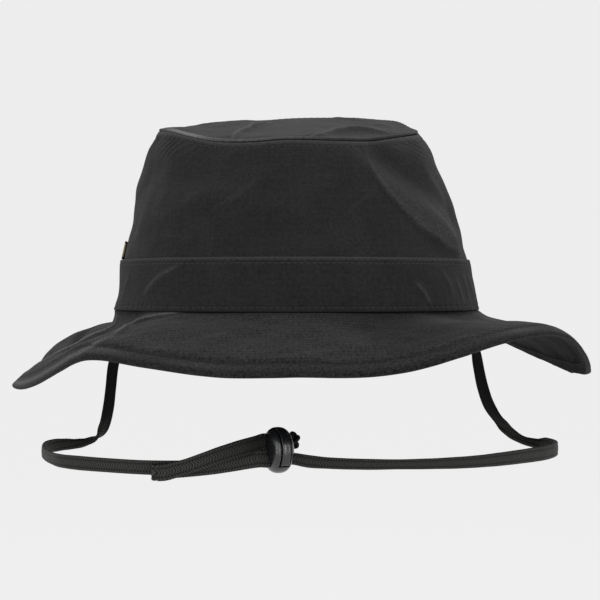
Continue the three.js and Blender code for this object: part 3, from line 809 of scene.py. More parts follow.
RIGHT_ROUTE = (
    (78.4, 2, 8, 0, -1, 0, 5.2), (80.0, 2, 0, 0, -1, 0, 5.2), (81.4, 2, -8, 0.1, -1, 0, 5.2),
    (83.7, 1.5, -17, 0.6, -0.8, 0, 5.2), (85.3, 1, -27, 0.95, -0.3, 0, 5.3),
    (87.1, 0, -36, 0.95, -0.3, 0, 5.6), (89.9, -1, -44.5, 0.8, -0.5, 0.3, 5.9),
    (94.2, -2, -51.3, 0.5, -0.7, 0.4, 5.7), (99.6, -3.5, -57.3, 0.5, 0.45, 0.75, 5.2),
    (105, -5.5, -60.6, 0.2, 0.75, 0.6, 4.8), (110.3, -9, -61.8, 0, 0.8, 0.6, 5.2),
    (115, -15, -62.0, 0, 0.2, 1, 6.6), (117.6, -25, -62.3, 0, 0, 1, 6.6),
    (115.4, -38, -62.4, 0, 0, 1, 6.5), (109.6, -50, -62.6, 0, 0, 1, 6.6),
    (103.6, -58.5, -62.6, 0, 0, 1, 6.6), (95, -69.5, -62.6, 0, 0, 1, 6.3),
    (86.4, -78.5, -62.7, 0, 0, 1, 6.0), (77, -86.5, -62.8, 0, 0, 1, 5.5),
    (68, -92.5, -62.8, 0, 0, 1, 5.2), (55, -97.5, -62.8, 0, 0, 1, 4.7), (42, -99.8, -62.8, 0, 0, 1, 4.4),
    (28, -100.6, -62.7, 0, 0, 1, 4.8), (14, -101.0, -62.2, 0, 0.05, 1, 5.0),
    (5, -101.6, -61.4, 0, 0.15, 1, 5.5), (-1.9, -103.5, -60.07, -0.105, 0.237, 0.966, 5.2),
    (-7.2, -105.9, -60.07, -0.105, 0.237, 0.966, 5.2),
    (-12.5, -108.26, -59.8, -0.105, 0.237, 0.966, 7.4), (-15.0, -109.3, -59.6, -0.05, 0.17, 0.98, 7.3),
    (-22, -111.7, -60.5, 0, 0.1, 1, 7.0), (-31, -114.4, -61.9, 0, 0, 1, 6.6),
    (-40, -116, -62.8, 0, 0, 1, 6.6), (-50, -116.4, -63.6, 0, 0, 1, 6.6),
    (-56.2, -116.4, -64.0, 0, 0, 1, 6.9),
)
TAIL_ROUTE = (
    (-56.1, -118.6, -64.4, 0, 0, 1, 7.0), (-53, -118.7, -64.2, 0, 0, 1, 7.0),
    (-49, -118.7, -63.2, 0, 0, 1, 6.8), (-44, -118.7, -61.8, 0, 0, 1, 6.6),
    (-37, -118.7, -59.4, 0, 0, 1, 6.8), (-30, -117.4, -57.0, 0, 0, 1, 7.0),
    (-22, -113.4, -54.9, 0, 0.1, 1, 7.3), (-15.6, -107.8, -53.6, -0.07, 0.2, 0.97, 7.3),
    (-13.3, -106.46, -52.9, -0.105, 0.237, 0.966, 7.2),
    (-8.0, -104.1, -52.73, -0.105, 0.237, 0.966, 5.2),
    (-3.25, -101.99, -52.73, -0.105, 0.237, 0.966, 5.2),
)


@dataclass(frozen=True)
class Route:
    """An evenly stepped line through points, with a broad direction and a width, in millimetres."""

    points: Array
    broad: Array
    widths: Array

    @staticmethod
    def through(rows: Rows, step: float) -> "Route":
        """Runs a centripetal Catmull-Rom line through the rows and steps it evenly.

        Between two points the line is a cubic whose end slopes come from the two neighbours on each
        side, with the parameter growing as the square root of the distance between points.

        Args:
            rows: points with the direction of the broad side and the width.
            step: length of a step in millimetres.

        Returns:
            The route.
        """
        table = np.array(rows, float)
        nodes, held = table[:, :3], table[:, 3:]
        nodes = np.vstack([2 * nodes[0] - nodes[1], nodes, 2 * nodes[-1] - nodes[-2]])
        spans = np.sqrt(np.linalg.norm(np.diff(nodes, axis=0), axis=1))[:, None]
        p0, p1, p2, p3 = nodes[:-3], nodes[1:-2], nodes[2:-1], nodes[3:]
        d0, d1, d2 = spans[:-2], spans[1:-1], spans[2:]
        start = ((p1 - p0) / d0 - (p2 - p0) / (d0 + d1) + (p2 - p1) / d1) * d1
        end = ((p2 - p1) / d1 - (p3 - p1) / (d1 + d2) + (p3 - p2) / d2) * d1
        t = np.linspace(0, 1, 60, endpoint=False)[None, :, None]
        p1, p2, start, end = (part[:, None] for part in (p1, p2, start, end))
        line = p1 + start * t + (3 * (p2 - p1) - 2 * start - end) * t**2
        line = line + (2 * (p1 - p2) + start + end) * t**3
        line = np.vstack([line.reshape(-1, 3), nodes[-2]])
        between = held[:-1, None] + (held[1:] - held[:-1])[:, None] * t * t * (3 - 2 * t)
        between = np.vstack([between.reshape(-1, 4), held[-1]])
        reached = distances(line)
        even = np.linspace(0, reached[-1], max(int(reached[-1] / step), 3))
        return Route(
            between_rows(even, reached, line),
            between_rows(even, reached, between),
            np.interp(even, reached, between[:, 3]),
        )

    def length(self) -> float:
        """Length in millimetres."""
        return float(np.linalg.norm(np.diff(self.points, axis=0), axis=1).sum())


@dataclass(frozen=True)
class FlatStrip:
    """A flat, round-edged strip carried along a route, with the relief of a braid where it has lanes."""

    thick: float
    around: int = 36
    corner: float = 3.2
    lanes: int = 4
    relief: float = 0.2
    # Heights in millimetres over which the painted shade, up under the brim, gives way to the cord's colour.
    lit_from: float = -48.0
    lit_to: float = -62.0

    def section(self) -> tuple[Array, Array]:
        """Gives the section, a superellipse whose points are spaced evenly across the broad side.

        Returns:
            Distance through the strip, and place across it from -1 to 1.
        """
        turn = 2 * math.pi * (np.arange(self.around) + 0.5) / self.around
        c, s = np.cos(turn), np.sin(turn)
        across = np.sign(c) * np.abs(c) ** 0.75
        through = np.sign(s) * (1 - np.abs(across) ** self.corner) ** (1 / self.corner)
        return through * self.thick / 2, across

    def carry(self, name: str, route: Route) -> Object:
        """Carries the section along a route.

        At each step the section stands square to the route, with its broad side along the route's
        broad direction. A braid's relief is a row of rounded lanes side by side. Shade is painted on
        the cord up under the brim, and gives way to its own colour from one height down to another.

        Args:
            name: name of the object.
            route: the middle line.

        Returns:
            The new object, with the relief as the attribute "strand", and as "fade" the share out of the
            painted shade.
        """
        along = unit(np.gradient(route.points, axis=0))
        broad = unit(route.broad - (route.broad * along).sum(1, keepdims=True) * along)
        thin = np.cross(along, broad)
        gone = distances(route.points)[:, None]
        y, across = self.section()
        lane = (across + 1) / 2 * self.lanes
        strand = np.sin(math.pi * (lane - np.floor(lane))) ** 0.9 + 0 * gone
        lift = self.relief * (strand - 0.6)
        # 0 up under the brim, where shade is painted, to 1 low down.
        fade = smooth_step(-self.lit_from, -self.lit_to, -route.points[:, 2:]) + 0 * strand
        grow_x = across * route.widths[:, None] / 2 + np.sign(across) * lift * np.abs(across) ** 4
        grow_y = y + np.sign(y) * lift
        points = route.points[:, None] + grow_x[..., None] * broad[:, None]
        points = points + grow_y[..., None] * thin[:, None]
        rows, columns = points.shape[:2]
        faces, places = grid_faces(rows, columns, False, True)
        v = np.append(across, across[0]) * self.lanes / 2
        cloth = np.zeros((rows + 1, columns + 1, 2))
        cloth[:rows, :, 0] = gone
        cloth[:, :, 1] = v
        corners = cloth.reshape(-1, 2)[places[:, ::-1].ravel()]
        ends = [np.arange(columns)[None], (rows - 1) * columns + np.arange(columns)[::-1][None]]
        parts = [faces[:, ::-1], *ends]
        cap = np.stack([v[:-1], v[:-1]], -1)
        corners = np.vstack([corners, cap, cap])
        values = {"strand": strand, "fade": fade}
        return mesh_object(name, points.reshape(-1, 3) * MM, parts, corners, values)


@dataclass
class ChinCord:
    """The flat braided cord: two sides, the tail through the lock, the sewn turn and the knot."""

    width: float = 5.2
    thick: float = 1.7
    step: float = 0.4
    turn_step: float = 0.15
    turn_relief: float = 0.3
    turn_lead: float = 0.35
    turn_width: float = 6.9
    turn_x: float = -56.6
    turn_back: float = -116.4
    turn_front: float = -118.6
    turn_z: float = -64.3
    knot_half: tuple[float, float, float] = (2.2, 2.6, 3.7)
    knot_strand: float = 0.95
    knot_yaw: float = 24.0
    knot_ribs: int = 3
    knot_twist: int = 60
    braid: Material | None = None
    pieces: dict[str, Object] = field(default_factory=dict)

    def build_side(self, name: str, node: str, rows: Rows) -> None:
        """Args:
            name: name of the piece.
            node: the node that it stands for.
            rows: its route.
        """
        route = Route.through(rows, self.step)
        piece = FlatStrip(self.thick).carry(name, route)
        dress(piece, self.braid, Body.HAT, (node,))
        self.pieces[name] = piece
        path = route.points[:: max(len(route.points) // 400, 1)]
        path = np.vstack([path, route.points[-1]]) * MM
        log.info("%s: %.1f mm long", name, route.length())
        route.length() * MM

    def build_turn(self) -> None:
        """Builds the sewn turn, a half circle seen from above, on which the cord doubles back."""
        middle = (self.turn_back + self.turn_front) / 2
        radius = (self.turn_back - self.turn_front) / 2
        held = (self.turn_z, 0, 0, 1, self.turn_width)
        rows = [(self.turn_x + self.turn_lead, self.turn_back, *held)]
        for turn in np.linspace(0, math.pi, 9):
            x = self.turn_x - radius * math.sin(turn)
            rows.append((x, middle + radius * math.cos(turn), *held))
        rows.append((self.turn_x + self.turn_lead, self.turn_front, *held))
        route = Route.through(tuple(rows), self.turn_step)
        piece = FlatStrip(self.thick, relief=self.turn_relief).carry("cord_sewn_turn", route)
        dress(piece, self.braid, Body.HAT, ("cord_fold",))
        self.pieces["cord_sewn_turn"] = piece

    def build_knot(self) -> None:
        """Builds the knot on the cord's end.

        The knot's line is a trefoil, (sin t + 2 sin 2t, cos t - 2 cos 2t, -sin 3t), scaled to the
        knot's box, and a round section with slanted strands is carried along it.
        """
        low, high = (np.array(corner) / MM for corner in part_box("cord_knot"))
        t = np.linspace(0, 2 * math.pi, 240, endpoint=False)
        line = np.stack([-np.sin(3 * t), np.cos(t) - 2 * np.cos(2 * t), np.sin(t) + 2 * np.sin(2 * t)], -1)
        line = line / np.abs(line).max(axis=0) * (np.array(self.knot_half) - self.knot_strand)
        line = yawed(line, self.knot_yaw) + (low + high) / 2
        along = unit(np.roll(line, -1, axis=0) - np.roll(line, 1, axis=0))
        out = line - (low + high) / 2
        out = unit(out - (out * along).sum(1, keepdims=True) * along)
        side = np.cross(along, out)
        round_angle = np.linspace(0, 2 * math.pi, 20, endpoint=False)
        ribs = np.cos(self.knot_ribs * round_angle[None] + self.knot_twist * t[:, None])
        radius = self.knot_strand * (0.94 + 0.08 * ribs)
        points = line[:, None] + (radius * np.cos(round_angle))[..., None] * out[:, None]
        points = points + (radius * np.sin(round_angle))[..., None] * side[:, None]
        rows, columns = points.shape[:2]
        faces, places = grid_faces(rows, columns, True, True)
        u, v = np.meshgrid(np.arange(rows + 1) * 0.2, np.arange(columns + 1) * 0.3, indexing="ij")
        cloth = np.stack([u, v], -1).reshape(-1, 2)[places[:, ::-1].ravel()]
        values = {"strand": (0.5 + 0.5 * ribs).ravel()}
        piece = mesh_object("cord_end_knot", points.reshape(-1, 3) * MM, [faces[:, ::-1]], cloth, values)
        dress(piece, self.braid, Body.HAT, ("cord_knot",))
        self.pieces["cord_end_knot"] = piece

    def build(self) -> None:
        """Builds the cord's pieces: the sewn turn and the knot first, then the three cords."""
        self.braid = PolyesterBraid().build()
        self.build_turn()
        self.build_knot()
        self.build_side("cord_left_braid", "cord_left", LEFT_ROUTE)
        self.build_side("cord_right_braid", "cord_right", RIGHT_ROUTE)
        self.build_side("cord_tail_braid", "cord_tail", TAIL_ROUTE)


# Cord lock


@dataclass(frozen=True)
class Tee:
    """A T-shaped outline in the lock's tilted plane: a slab at the rim, and a tongue that runs inwards."""

    width: float
    low: float
    high: float
    inner: float
    tongue_end: float
    tongue_half: float

    def outline(self, far: float) -> list[tuple[float, float]]:
        """Corners as distance into the rim, from far outside it, and distance along the button."""
        half, end = self.tongue_half, self.tongue_end
        lower = [(far, self.low), (self.inner, self.low), (self.inner, -half), (end, -half)]
        return [*lower, (end, half), (self.inner, half), (self.inner, self.high), (far, self.high)]


@dataclass
class CordLock:
    """The cord lock: a flat round body with cord holes, and a button that slides in its rim."""

    place: tuple[float, float, float] = (-7.6, -105.0, -56.4)
    yaw: float = 24.0
    tilt: float = 15.0
    radius: float = 9.45
    half_thick: float = 5.25
    power: float = 2.6
    hole_offset: float = 3.8
    hole_height: float = 6.0
    hole_depth: float = 2.5
    hole_round: float = 0.8
    button: Tee = Tee(3.6, -7.6, 8.3, -3.8, 4.6, 0.8)
    button_proud: float = 0.25
    slot_width: float = 4.6
    slot_inner: float = -0.95
    slot_end: float = 7.4
    slot_margin: float = 0.3
    voxel: float = 0.21
    smoothing: int = 6

    def form(self, name: str, radius: float) -> Object:
        """Builds the flat round form: a superellipse from pole to pole, turned about the X axis.

        Args:
            name: name of the object.
            radius: radius of the rim in millimetres.

        Returns:
            A closed object in millimetres, round the origin.
        """
        turn = np.linspace(0, math.pi, 60)[1:-1, None]
        around = np.linspace(0, 2 * math.pi, 120, endpoint=False)[None]
        scale = (np.abs(np.cos(turn)) ** self.power + np.sin(turn) ** self.power) ** (-1 / self.power)
        reach = radius * np.sin(turn) * scale
        x = -self.half_thick * np.cos(turn) * scale + 0 * around
        points = np.stack([x, reach * np.cos(around), reach * np.sin(around)], -1)
        rows, columns = points.shape[:2]
        faces, _ = grid_faces(rows, columns, False, True)
        ring, last = np.arange(columns), (rows - 1) * columns
        caps = [fan(rows * columns, ring)[:, [0, 2, 1]], fan(rows * columns + 1, last + ring)]
        poles = [[-self.half_thick, 0, 0], [self.half_thick, 0, 0]]
        return mesh_object(name, np.vstack([points.reshape(-1, 3), poles]), [faces, *caps])

    def prism(self, name: str, outline: list[tuple[float, float]], width: float) -> Object:
        """Builds an outline in the lock's tilted plane, extruded across the lock.

        Args:
            name: name of the object.
            outline: corners as distance into the rim and distance along the button.
            width: width across the lock in millimetres.

        Returns:
            A closed object in millimetres.
        """
        tilt = math.radians(self.tilt)
        inward = np.array([0, math.cos(tilt), -math.sin(tilt)])
        along = np.array([0, math.sin(tilt), math.cos(tilt)])
        corners = np.array(outline)
        flat = corners[:, :1] * inward + corners[:, 1:] * along
        across = np.array([width / 2, 0, 0])
        count = len(flat)
        ring = np.arange(count)
        following = np.roll(ring, -1)
        sides = np.stack([ring, following, following + count, ring + count], -1)
        points = np.vstack([flat - across, flat + across])
        return mesh_object(name, points, [sides, ring[::-1][None], ring[None] + count])

    def shaped(self, name: str, solid: Object, cutters: list[Object], keep: str) -> Object:
        """Cuts a solid, rounds its edges as a mould does, and sets it in place.

        Args:
            name: name of the piece.
            solid: what is cut.
            cutters: what cuts it.
            keep: "DIFFERENCE" or "INTERSECT".

        Returns:
            The piece in metres in the hat's frame.
        """
        for cutter in cutters:
            cut = solid.modifiers.new("cut", "BOOLEAN")
            cut.operation, cut.object, cut.solver = keep, cutter, "EXACT"
        even = solid.modifiers.new("even", "REMESH")
        even.mode, even.voxel_size = "VOXEL", self.voxel
        soft = solid.modifiers.new("soft", "SMOOTH")
        soft.factor, soft.iterations = 0.5, self.smoothing
        graph = bpy.context.evaluated_depsgraph_get()
        mesh = bpy.data.meshes.new_from_object(solid.evaluated_get(graph))
        for used in [solid, *cutters]:
            bpy.data.objects.remove(used)
        points = np.zeros(len(mesh.vertices) * 3, np.float32)
        mesh.vertices.foreach_get("co", points)
        placed = (yawed(points.reshape(-1, 3), self.yaw) + np.array(self.place)) * MM
        mesh.vertices.foreach_set("co", placed.astype(np.float32).ravel())
        mesh.update()
        mesh.shade_smooth()
        mesh.name = name
        return new_object(name, mesh)

    def build(self) -> None:
        """Builds the body with its slot and holes, and the button with its tongue."""
        plastic = MouldedAcetal().build()
        outside, button, margin = -2 * self.radius, self.button, self.slot_margin
        slot = Tee(
            self.slot_width,
            button.low - margin,
            button.high + margin,
            self.slot_inner,
            self.slot_end,
            button.tongue_half + margin,
        )
        cutters = [self.prism("slot_cut", slot.outline(outside), slot.width)]
        x, y, r = self.hole_depth / 2, self.hole_height / 2, self.hole_round
        for side in (-1, 1):
            m = side * self.hole_offset
            corners = [(-x, m - y + r), (r - x, m - y), (x - r, m - y), (x, m - y + r)]
            corners += [(x, m + y - r), (x - r, m + y), (r - x, m + y), (-x, m + y - r)]
            cutters.append(self.prism("hole_cut", corners, 4 * self.half_thick))
        body = self.shaped("lock_round_body", self.form("form", self.radius), cutters, "DIFFERENCE")
        dress(body, plastic, Body.HAT, ("lock_body",))
        cutter = self.prism("button_cut", button.outline(outside), button.width)
        solid = self.form("form", self.radius + self.button_proud)
        moving = self.shaped("lock_press_button", solid, [cutter], "INTERSECT")
        dress(moving, plastic, Body.BUTTON, ("lock_plunger",))


# Stitches


@dataclass(frozen=True)
class StitchRow:
    """A row of machine stitches along a line on cloth."""

    pitch: float = 2.7
    length: float = 2.0
    width: float = 0.4
    proud: float = 0.1
    rings: int = 5
    sides: int = 6
    end: float = 0.06
    taper: float = 0.45
    flat: float = 0.8

    def build(self, name: str, line: Array, normals: Array) -> Object:
        """Builds the row's stitches.

        Each stitch is a small spindle: rings along it whose radius follows half a sine to a small
        power, half sunk in the cloth. The stitches stand at even steps along the line.

        Args:
            name: name of the object.
            line: closed line in millimetres, its last point joining the first.
            normals: directions out of the cloth at its points.

        Returns:
            The new object.
        """
        loop = np.vstack([line, line[:1]])
        out = np.vstack([normals, normals[:1]])
        reached = distances(loop)
        count = int(reached[-1] / self.pitch)
        at = (np.arange(count) + 0.5) * reached[-1] / count
        rings, sides = self.rings, self.sides
        share = np.linspace(0, 1, rings)
        offsets = (share - 0.5) * self.length
        thick = np.sin(math.pi * np.clip(share, self.end, 1 - self.end)) ** self.taper
        turn = 2 * math.pi * np.arange(sides) / sides
        places = at[:, None] + offsets[None]
        middle = between_rows(places % reached[-1], reached, loop)
        up = unit(between_rows(places % reached[-1], reached, out))
        side = np.cross(unit(np.gradient(middle, axis=1)), up)
        middle = middle + up * (self.proud * (2 * thick - 1.2))[None, :, None]
        radius = (thick * self.width / 2)[None, :, None, None]
        points = middle[:, :, None] + radius * np.cos(turn)[None, None, :, None] * side[:, :, None]
        points = points + self.flat * radius * np.sin(turn)[None, None, :, None] * up[:, :, None]
        faces, _ = grid_faces(rings, sides, False, True)
        first = np.arange(count)[:, None, None] * rings * sides
        quads = (faces[None] + first).reshape(-1, 4)
        ends = np.stack([np.arange(sides)[::-1], (rings - 1) * sides + np.arange(sides)])
        ends = (ends[None] + first).reshape(-1, sides)
        return mesh_object(name, points.reshape(-1, 3) * MM, [quads, ends])


# Crown

CROWN_LEVELS = Table(
    ("level", "half_width", "half_depth", "shift_x"),
    (
        (0.0, 83.4, 100.5, 0.0), (0.1, 81.0, 98.6, 0.0), (0.27, 79.7, 96.0, -0.6),
        (0.36, 77.9, 94.0, -0.9), (0.5, 75.3, 90.6, -0.7), (0.67, 72.3, 86.2, -2.2),
        (0.8, 68.6, 82.0, -3.0), (0.9, 65.9, 78.6, -3.1), (0.95, 63.4, 76.6, -3.1),
        (1.0, 60.3, 73.5, -3.7),
    ),
)
RIM = Table(
    ("at", "height"),
    (
        (-180, 96.3), (-150, 92.5), (-135, 89.8), (-120, 87.3), (-90, 84.3), (-60, 81.4), (-45, 78.0),
        (-30, 74.6), (-15, 73.9), (0, 74.8), (20, 74.6), (35, 75.1), (45, 76.8), (60, 79.4), (90, 84.0),
        (105, 86.8), (120, 91.5), (135, 93.9), (150, 95.9),
    ),
)
RIM_PER_DEGREE = 1.17


@dataclass(frozen=True)
class Gather:
    """Pleats under the rim's seam round one angle: their depth, pitch along the rim, slant and length."""

    middle: float
    reach: float
    depth: float
    pitch: float
    slant: float
    down: float

    def relief(self, angle: Array, below: Array) -> Array:
        """Height of slanted cosine pleats of uneven sizes, which fade out round the rim and down the wall."""
        turn = np.radians(angle)
        away = (angle - self.middle + 180) % 360 - 180
        uneven = 1.5 * np.sin(7 * turn + 1.0) + 0.8 * np.sin(23 * turn + 2.0)
        phase = (angle * RIM_PER_DEGREE - self.slant * below + uneven) / self.pitch
        sizes = 0.7 + 0.3 * np.sin(19 * turn + 0.7)
        pleat = (0.5 + 0.5 * np.cos(2 * math.pi * phase)) ** 1.5 - 0.4
        fade = smooth_step(0.8, 2.6, below) * bell(below, self.down)
        return self.depth * sizes * pleat * fade * bell(away, self.reach, 4)


GATHERS = (
    Gather(62, 17, 0.8, 6.4, 2.4, 8.0), Gather(-58, 22, 0.8, 4.6, -1.1, 9.0),
    Gather(104, 22, 0.4, 5.4, 0.9, 8.0), Gather(-104, 20, 0.4, 5.0, -0.9, 8.0),
    Gather(148, 20, 0.35, 5.0, 0.6, 7.0), Gather(-150, 20, 0.35, 5.2, -0.6, 7.0),
    Gather(0, 36, 0.09, 3.4, 0.15, 4.0), Gather(180, 14, 0.12, 3.8, 0.1, 5.0),
)

# The crown's large folds, as in its solid: from one angle and height to another
FOLDS = Table(
    ("from_angle", "from_height", "to_angle", "to_height", "width", "rise"),
    (
        (24, 64, 62, 30, 7, 1.8), (36, 66, 72, 44, 9, -2.2), (-62, 60, -24, 58, 9, -1.8),
        (-26, 50, -60, 38, 8, 1.2), (140, 70, 172, 46, 9, -1.6), (-160, 66, -128, 42, 9, -1.6),
    ),
)
PER_DEGREE = 1.5


def unrolled(*places: tuple[float, float]) -> Rows:
    """Turns places given as angle and height to the crown's unrolled plane in millimetres."""
    return tuple((angle * PER_DEGREE, height) for angle, height in places)


# Sharper creases of the crown's cloth, in its unrolled plane. After its path each crease has its rise,
# its width to the left and right of the path, and its wear with the width that is worn
WALL_CREASES = (
    Crease(unrolled((30, 66), (31, 60), (34, 52), (37, 47), (39.5, 42.5), (43, 38), (48, 34), (56, 29),
        (64, 26)), 1.9, 9.0, 1.5, 0.26, 1.3),
    Crease(unrolled((46, 52), (53, 42), (59, 35), (67, 28)), 0.9, 4.0, 5.0, 0.1),
    Crease(unrolled((40, 64), (48, 58), (60, 52)), -0.8, 4.0, 5.0),
    Crease(unrolled((17, 41), (22, 46), (29, 50.5)), 0.4, 3.0, 1.8, 0.04),
    Crease(unrolled((-10.5, 58), (-13.5, 54), (-15.5, 51), (-21, 47), (-27, 44)), 0.6, 1.8, 4.5, 0.06),
    Crease(unrolled((-14, 43), (-9, 37.5), (-4, 32)), -0.5, 3.0, 4.5),
    Crease(unrolled((-60, 47), (-48, 41), (-38, 45), (-30, 51)), 0.55, 3.0, 5.0),
    Crease(unrolled((-50, 60), (-38, 57), (-22, 59)), -0.7, 5.0, 5.0),
    Crease(unrolled((-58, 30), (-44, 33), (-30, 29)), 0.5, 3.5, 4.5),
    Crease(unrolled((58, 66), (64, 56), (76, 46)), 0.6, 4.0, 5.0),
    Crease(unrolled((95, 62), (110, 50), (118, 34)), 1.1, 6.0, 2.4),
    Crease(unrolled((-95, 64), (-106, 50), (-112, 34)), 1.1, 2.4, 6.0),
    Crease(unrolled((150, 76), (160, 60), (175, 44)), 1.0, 6.0, 2.6),
    Crease(unrolled((-172, 72), (-150, 56), (-140, 40)), 1.0, 6.0, 2.4),
)

# Puckers of the band's cloth, in the same plane
BAND_CREASES = (
    Crease(unrolled((-36, 20), (-39, 18), (-44, 15), (-48.5, 11), (-52, 7)), 0.7, 2.4, 1.2, 0.2),
    Crease(unrolled((-62, 17), (-66, 10), (-68, 4)), 0.5, 2.0, 1.6, 0.1),
    Crease(unrolled((37, 13), (38.5, 10.5), (40, 8), (42, 3)), 0.6, 1.6, 1.2, 0.25),
    Crease(unrolled((49, 18), (52, 13), (54, 6)), 0.5, 1.6, 1.2, 0.15),
    Crease(unrolled((57.5, 14), (59, 9), (60, 3)), 0.6, 1.3, 1.2, 0.25),
    Crease(unrolled((63, 17), (65, 10), (66, 3)), 0.6, 1.4, 1.2, 0.2),
    Crease(unrolled((69, 16), (72, 9), (74, 2)), 0.6, 1.4, 1.4, 0.2),
    Crease(unrolled((78, 15), (80, 9), (84, 2)), 0.55, 1.5, 1.5, 0.1),
    Crease(unrolled((104, 17), (108, 9), (110, 3)), 0.5, 1.8, 1.8),
    Crease(unrolled((150, 16), (153, 9), (158, 3)), 0.5, 1.8, 1.8),
    Crease(unrolled((-104, 17), (-108, 9), (-112, 3)), 0.5, 1.8, 1.8),
    Crease(unrolled((-150, 16), (-155, 9), (-158, 3)), 0.5, 1.8, 1.8),
)

# Creases of the crown's top, seen from above: x and y
TOP_CREASES = (
    Crease(((-29.5, -74), (-27.7, -67), (-26.6, -57), (-24.8, -45), (-22.7, -37), (-20.6, -24),
        (-19.5, -12), (-15.6, 4), (-10, 20)), 2.0, 5.0, 2.2, 0.45),
    Crease(((-2, -76), (6, -72), (10, -66), (13.5, -57), (17.5, -48), (22.5, -40), (28, -36.5),
        (34, -41), (40, -47), (50, -50)), 2.6, 6.0, 3.2, 0.4),
    Crease(((-46, -20), (-38, 0), (-20, 8)), -1.2, 7.0, 7.0),
    Crease(((38, 22), (46, 6), (53, -12)), 1.0, 3.0, 3.0, 0.2),
    Crease(((-52, 8), (-40, 30), (-20, 46)), 1.0, 5.0, 3.0, 0.2),
    Crease(((14, 60), (22, 40), (40, 30)), 0.9, 4.0, 3.0, 0.2),
)


